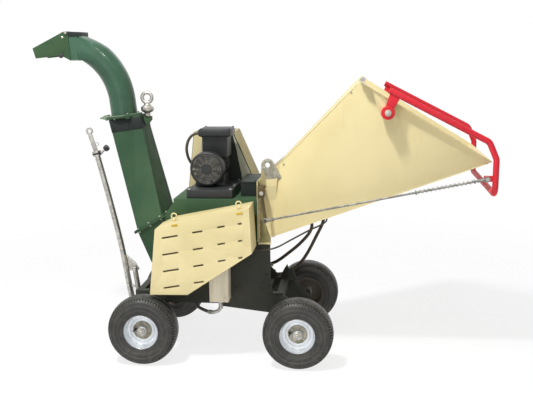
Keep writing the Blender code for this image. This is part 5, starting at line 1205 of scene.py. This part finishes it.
def make_chassis():
    shell("chassis_frame", "chassis_beams", 1.6, moved=trimmed_chassis)
    shell("front_axle", "axle_beam", 1.4)
    bolts, painted_bolts, steer_bolts, welds, axle_welds = (Shape() for _ in range(5))
    for dx, y in product((-80, 80), (-150, 150)):
        bolts.bolt((FRONT_X + dx, y, 306.5), UP, 10, y * 0.009 + dx * 0.001)
    bolts.knob([(22.5, 0), (23, 2), (0, 2.4)], (FRONT_X, 0, 306.3), UP, 28)
    bolts.hexagon((FRONT_X, 0, 308.3), UP, 30, 13, 0.3)
    bolts.rod((FRONT_X, 0, 320), (FRONT_X, 0, 329), 9, 20, 1)
    for x, z in ((-180, 480), (-180, 390), (215, 640), (215, 400), (60, 400), (250, 480)):
        painted_bolts.bolt((x, -201.2, z), -ACROSS, 9, x * 0.02)
    painted_bolts.done("panel_bolts", slot="frame_paint")
    for x, z in ((110, 580), (190, 580), (255, 400)):
        bolts.bolt((x, 201.2, z), ACROSS, 9, x * 0.02)
    for x in (-520, -100, 310):
        bolts.bolt((x, 196.2, 335), ACROSS, 8, x * 0.009)
    bolts.done("chassis_bolts")
    for sign in SIDES:
        welds.bead((-555, sign * 196.8, 301.2), (-360, sign * 196.8, 301.2), 3.4)
        welds.bead((250, sign * 201.2, 364), (345, sign * 196.8, 370.5), 3.4)
        for dx in (-22, 22):
            welds.bead((REAR_X + dx, sign * 201.6, 184), (REAR_X + dx, sign * 201.6, 226), 3.6)
    welds.done("chassis_welds", slot="frame_paint")
    for i, angle in enumerate(around(6, pi / 6)):
        steer_bolts.nut((FRONT_X + 92 * cos(angle), 92 * sin(angle), 269.4), -UP, 7, 0.3 * i)
    for sign, x in product(SIDES, (-600, -560)):
        steer_bolts.bolt((x, sign * 33.4, 232), ACROSS * sign, 6, x * 0.03)
    steer_bolts.done("turntable_nuts", "steering")
    for sign in SIDES:
        axle_welds.bead((FRONT_X - 33, sign * 76, 196), (FRONT_X + 33, sign * 76, 196), 3)
    axle_welds.done("axle_welds", "steering", "frame_paint")


def make_deck():
    shell("deck_plate", "deck_sheet", 1.4)
    bolts = Shape()
    for x, y in product((112, 182), (-128, 135)):
        bolts.bolt((x, y, 1041.2), UP, 6.5, x * 0.02 + y * 0.001)
    bolts.done("deck_bolts", slot="green_paint")
    lid = Shape().box((94, -154, 1033.5), (200, 161, 1039.8))
    lid.done("tensioner_lid", "frame", "green_paint", "green_shade", bevel=1.6)
    cover = Shape().box((98.5, -149.6, 1040.1), (195.5, 160.6, 1040.9))
    cover.box((98.5, -151.1, 953.5), (195.5, -150.2, 1033))
    cover.done("tensioner_cover", "frame", "green_paint", "green_shade")


def make_tank():
    """A sheet tank: an outline with narrow grooves, drawn up from floor to lid."""
    left, front, low = -83, -290, 335
    right, back, high = 34, -200.3, 550
    deep = front + 3.4
    outline = [(left + 6, front)]
    for start, end in ((10, 15), (20, 24), (78, 82), (90, 96)):
        start, end = left + start, left + end
        outline += [(start - 1, front), (start, deep), (end, deep), (end + 1, front)]
    outline += [(right - 6, front), (right, front + 6), (right, back), (left, back), (left, front + 6)]
    middle = Vector(((left + right) / 2, (front + back) / 2))
    rings = []
    for z, drawn in ((low, 4), (low + 4, 0), (high - 12, 0)):
        points = [Vector(p) + (middle - Vector(p)).normalized() * drawn for p in outline]
        rings.append([(*p, z) for p in points])
    Shape().rings(rings).done("tank_body", look="tank_sheet", replaces=("oil_tank",))
    trim = Shape().box((left, front - 1, high - 12.5), (right, back, high))
    trim.knob([(19, 0), (19.5, 3), (19.5, 12), (18, 14), (0, 14.5)],
              (left + 34, middle.y, high - 0.5), UP, 24)
    trim.knob([(9, 0), (9, 6), (7, 7.5), (0, 7.8)], (right - 20, front + 1, low + 24), -ACROSS, 8)
    trim.done("tank_trim", look="tank_sheet", bevel=1.2)


ROTOR_X, ROTOR_Z = -120, 620


def make_running_gear():
    pump, motor, bolts = Shape(), Shape(), Shape()
    for low, high in (((95, 200.3, 335), (190, 230, 465)), ((100.5, 230, 342), (185, 306, 458)),
                      ((97.5, 306, 338), (188, 325, 462))):
        pump.box(low, high)
    pump.done("pump_body", slot="cast_iron", bevel=5, segments=3, replaces=("hydraulic_pump",))
    motor.knob([(38, 165.3), (38, 176), (34.5, 179), (34.5, 220), (37.2, 223), (38, 248), (35, 250)],
               (130, 0, 655), ACROSS, 44)
    motor.box((100, 225, 625), (174, 315, 705))
    motor.done("feed_motor_body", slot="cast_iron", bevel=2.2, replaces=("roller_motor",))
    for xs, zs, y, size in (((108, 178), (350, 450), 326.2, 7), ((110, 164), (635, 695), 316.2, 6)):
        for x, z in product(xs, zs):
            bolts.bolt((x, y, z), ACROSS, size, x * 0.03)
    for sign, (i, angle) in product(SIDES, enumerate(around(4, pi / 4))):
        spot = (ROTOR_X + 40 * cos(angle), sign * 197.2, ROTOR_Z + 40 * sin(angle))
        bolts.bolt(spot, ACROSS * sign, 7, 0.3 * i)
    bolts.done("gear_bolts")
    housing = [(26.2, 165.3), (49, 165.3), (50, 167.3), (50, 177.3), (48, 179.3), (44, 180.3), (43, 192.3),
               (41, 195.3), (26.2, 195.3)]
    for side, sign in (("near", -1), ("far", 1)):
        ring = Shape().turn(housing, (ROTOR_X, 0, ROTOR_Z), ACROSS * sign, 48)
        ring.done(f"bearing_housing_{side}", slot="cast_iron", replaces=(f"bearing_{side}",))


INNER_PARTS = {"rotor_drum": 1, "rotor_knife_1": 0.8, "rotor_knife_2": 0.8, "rotor_shaft": 1,
               "rotor_pulley": 0.8, "anvil": 1, "roller_arm": 1, "upper_feed_roller": 0.8,
               "lower_feed_roller": 0.8, "motor_rotor": 0.8, "motor_pulley": 0.8, "motor_fan": 1,
               "drive_belt": 1}


def make_inner_parts():
    for node, bevel in INNER_PARTS.items():
        shell(node, f"{node}_form", bevel)


# Stage

def make_floor():
    """A pale floor. To the camera it glows white, less so round the machine, so that shadows show."""
    bpy.ops.mesh.primitive_plane_add(size=40.0, location=(0, 0, -0.0005))
    floor = bpy.context.object
    floor.name = "floor"
    f = Finish("pale_floor")
    f.feed(f.shader.inputs["Base Color"], (0.97, 0.97, 0.97, 1.0))
    f.feed(f.shader.inputs["Roughness"], 0.9)
    rays = f.add("ShaderNodeLightPath").outputs
    seen = f.maths('MAXIMUM', rays["Is Camera Ray"], rays["Is Glossy Ray"])
    away = f.add("ShaderNodeVectorMath", {0: f.place}, operation='LENGTH').outputs["Value"]
    share = f.maths('MULTIPLY', seen, f.span(away, 1.5, 4.5, 0.80, 1.0))
    f.end("Material Output", share, f.shader, f.add("ShaderNodeEmission", {"Strength": 1.0}))
    floor.data.materials.append(f.material)


def make_world(strength):
    """White to the camera and in reflections, and a dimmer light on everything."""
    world = bpy.data.worlds.new("studio")
    bpy.context.scene.world = world
    world.use_nodes = True
    nodes = Nodes(world.node_tree)
    ambient, white = nodes.tree.nodes["Background"], nodes.add("ShaderNodeBackground")
    for background, power in ((ambient, strength), (white, 1.0)):
        nodes.feed(background.inputs["Color"], (1.0, 1.0, 1.0, 1.0))
        nodes.feed(background.inputs["Strength"], power)
    rays = nodes.add("ShaderNodeLightPath").outputs
    seen = nodes.maths('MAXIMUM', rays["Is Camera Ray"], rays["Is Glossy Ray"])
    nodes.end("World Output", nodes.maths('MAXIMUM', seen, rays["Is Transmission Ray"]), ambient, white)


def make_lamp(name, place, target, size, power):
    lamp = bpy.data.lights.new(name, 'AREA')
    lamp.shape = 'DISK'
    lamp.size = size
    lamp.energy = power
    thing = bpy.data.objects.new(name, lamp)
    bpy.context.scene.collection.objects.link(thing)
    thing.location = place
    thing.rotation_euler = (Vector(target) - Vector(place)).to_track_quat('-Z', 'Y').to_euler()


def make_camera():
    yaw, pitch, roll = radians(6.88), radians(10.555), radians(-0.8)
    forward = Vector((-sin(yaw) * cos(pitch), cos(yaw) * cos(pitch), -sin(pitch)))
    right = Vector((cos(yaw), sin(yaw), 0))
    up = right.cross(forward)
    turn = Matrix((right * cos(roll) + up * sin(roll), up * cos(roll) - right * sin(roll), -forward))
    camera = bpy.data.objects.new("camera", bpy.data.cameras.new("camera"))
    bpy.context.scene.collection.objects.link(camera)
    place = TO_MODEL @ Vector((810.9, -4789.3, 1802))
    camera.matrix_world = Matrix.Translation(place) @ turn.transposed().to_4x4()
    camera.data.sensor_width = 36.0
    camera.data.lens = 54.03
    bpy.context.scene.camera = camera


make_floor()
make_world(0.30)
make_lamp("key", (-1.7, -3.1, 7.2), (0, 0, 0.9), 0.7, 520.0)
make_lamp("fill", (-1.2, -5.5, 2.0), (0.1, 0, 0.9), 3.5, 22.0)
make_lamp("glint", (1.2, -3.4, 5.6), (-0.9, 0, 1.6), 0.5, 30.0)
make_lamp("back", (0.5, 4.2, 4.0), (0, 0, 0.9), 3.0, 20.0)
make_camera()
make_hoses()
make_wheels()
make_tower()
make_chute()
make_hood()
make_eyebolt()
make_motor()
make_side_guard()
make_latches()
make_belt_guard()
make_starter()
make_feed_housing()
make_hopper()
make_control_bar()
make_control_rod()
make_valve()
make_drawbar()
make_clamp_handle()
make_chassis()
make_deck()
make_tank()
make_running_gear()
make_inner_parts()
bpy.context.scene.view_settings.view_transform = 'Standard'
bpy.context.view_layer.update()
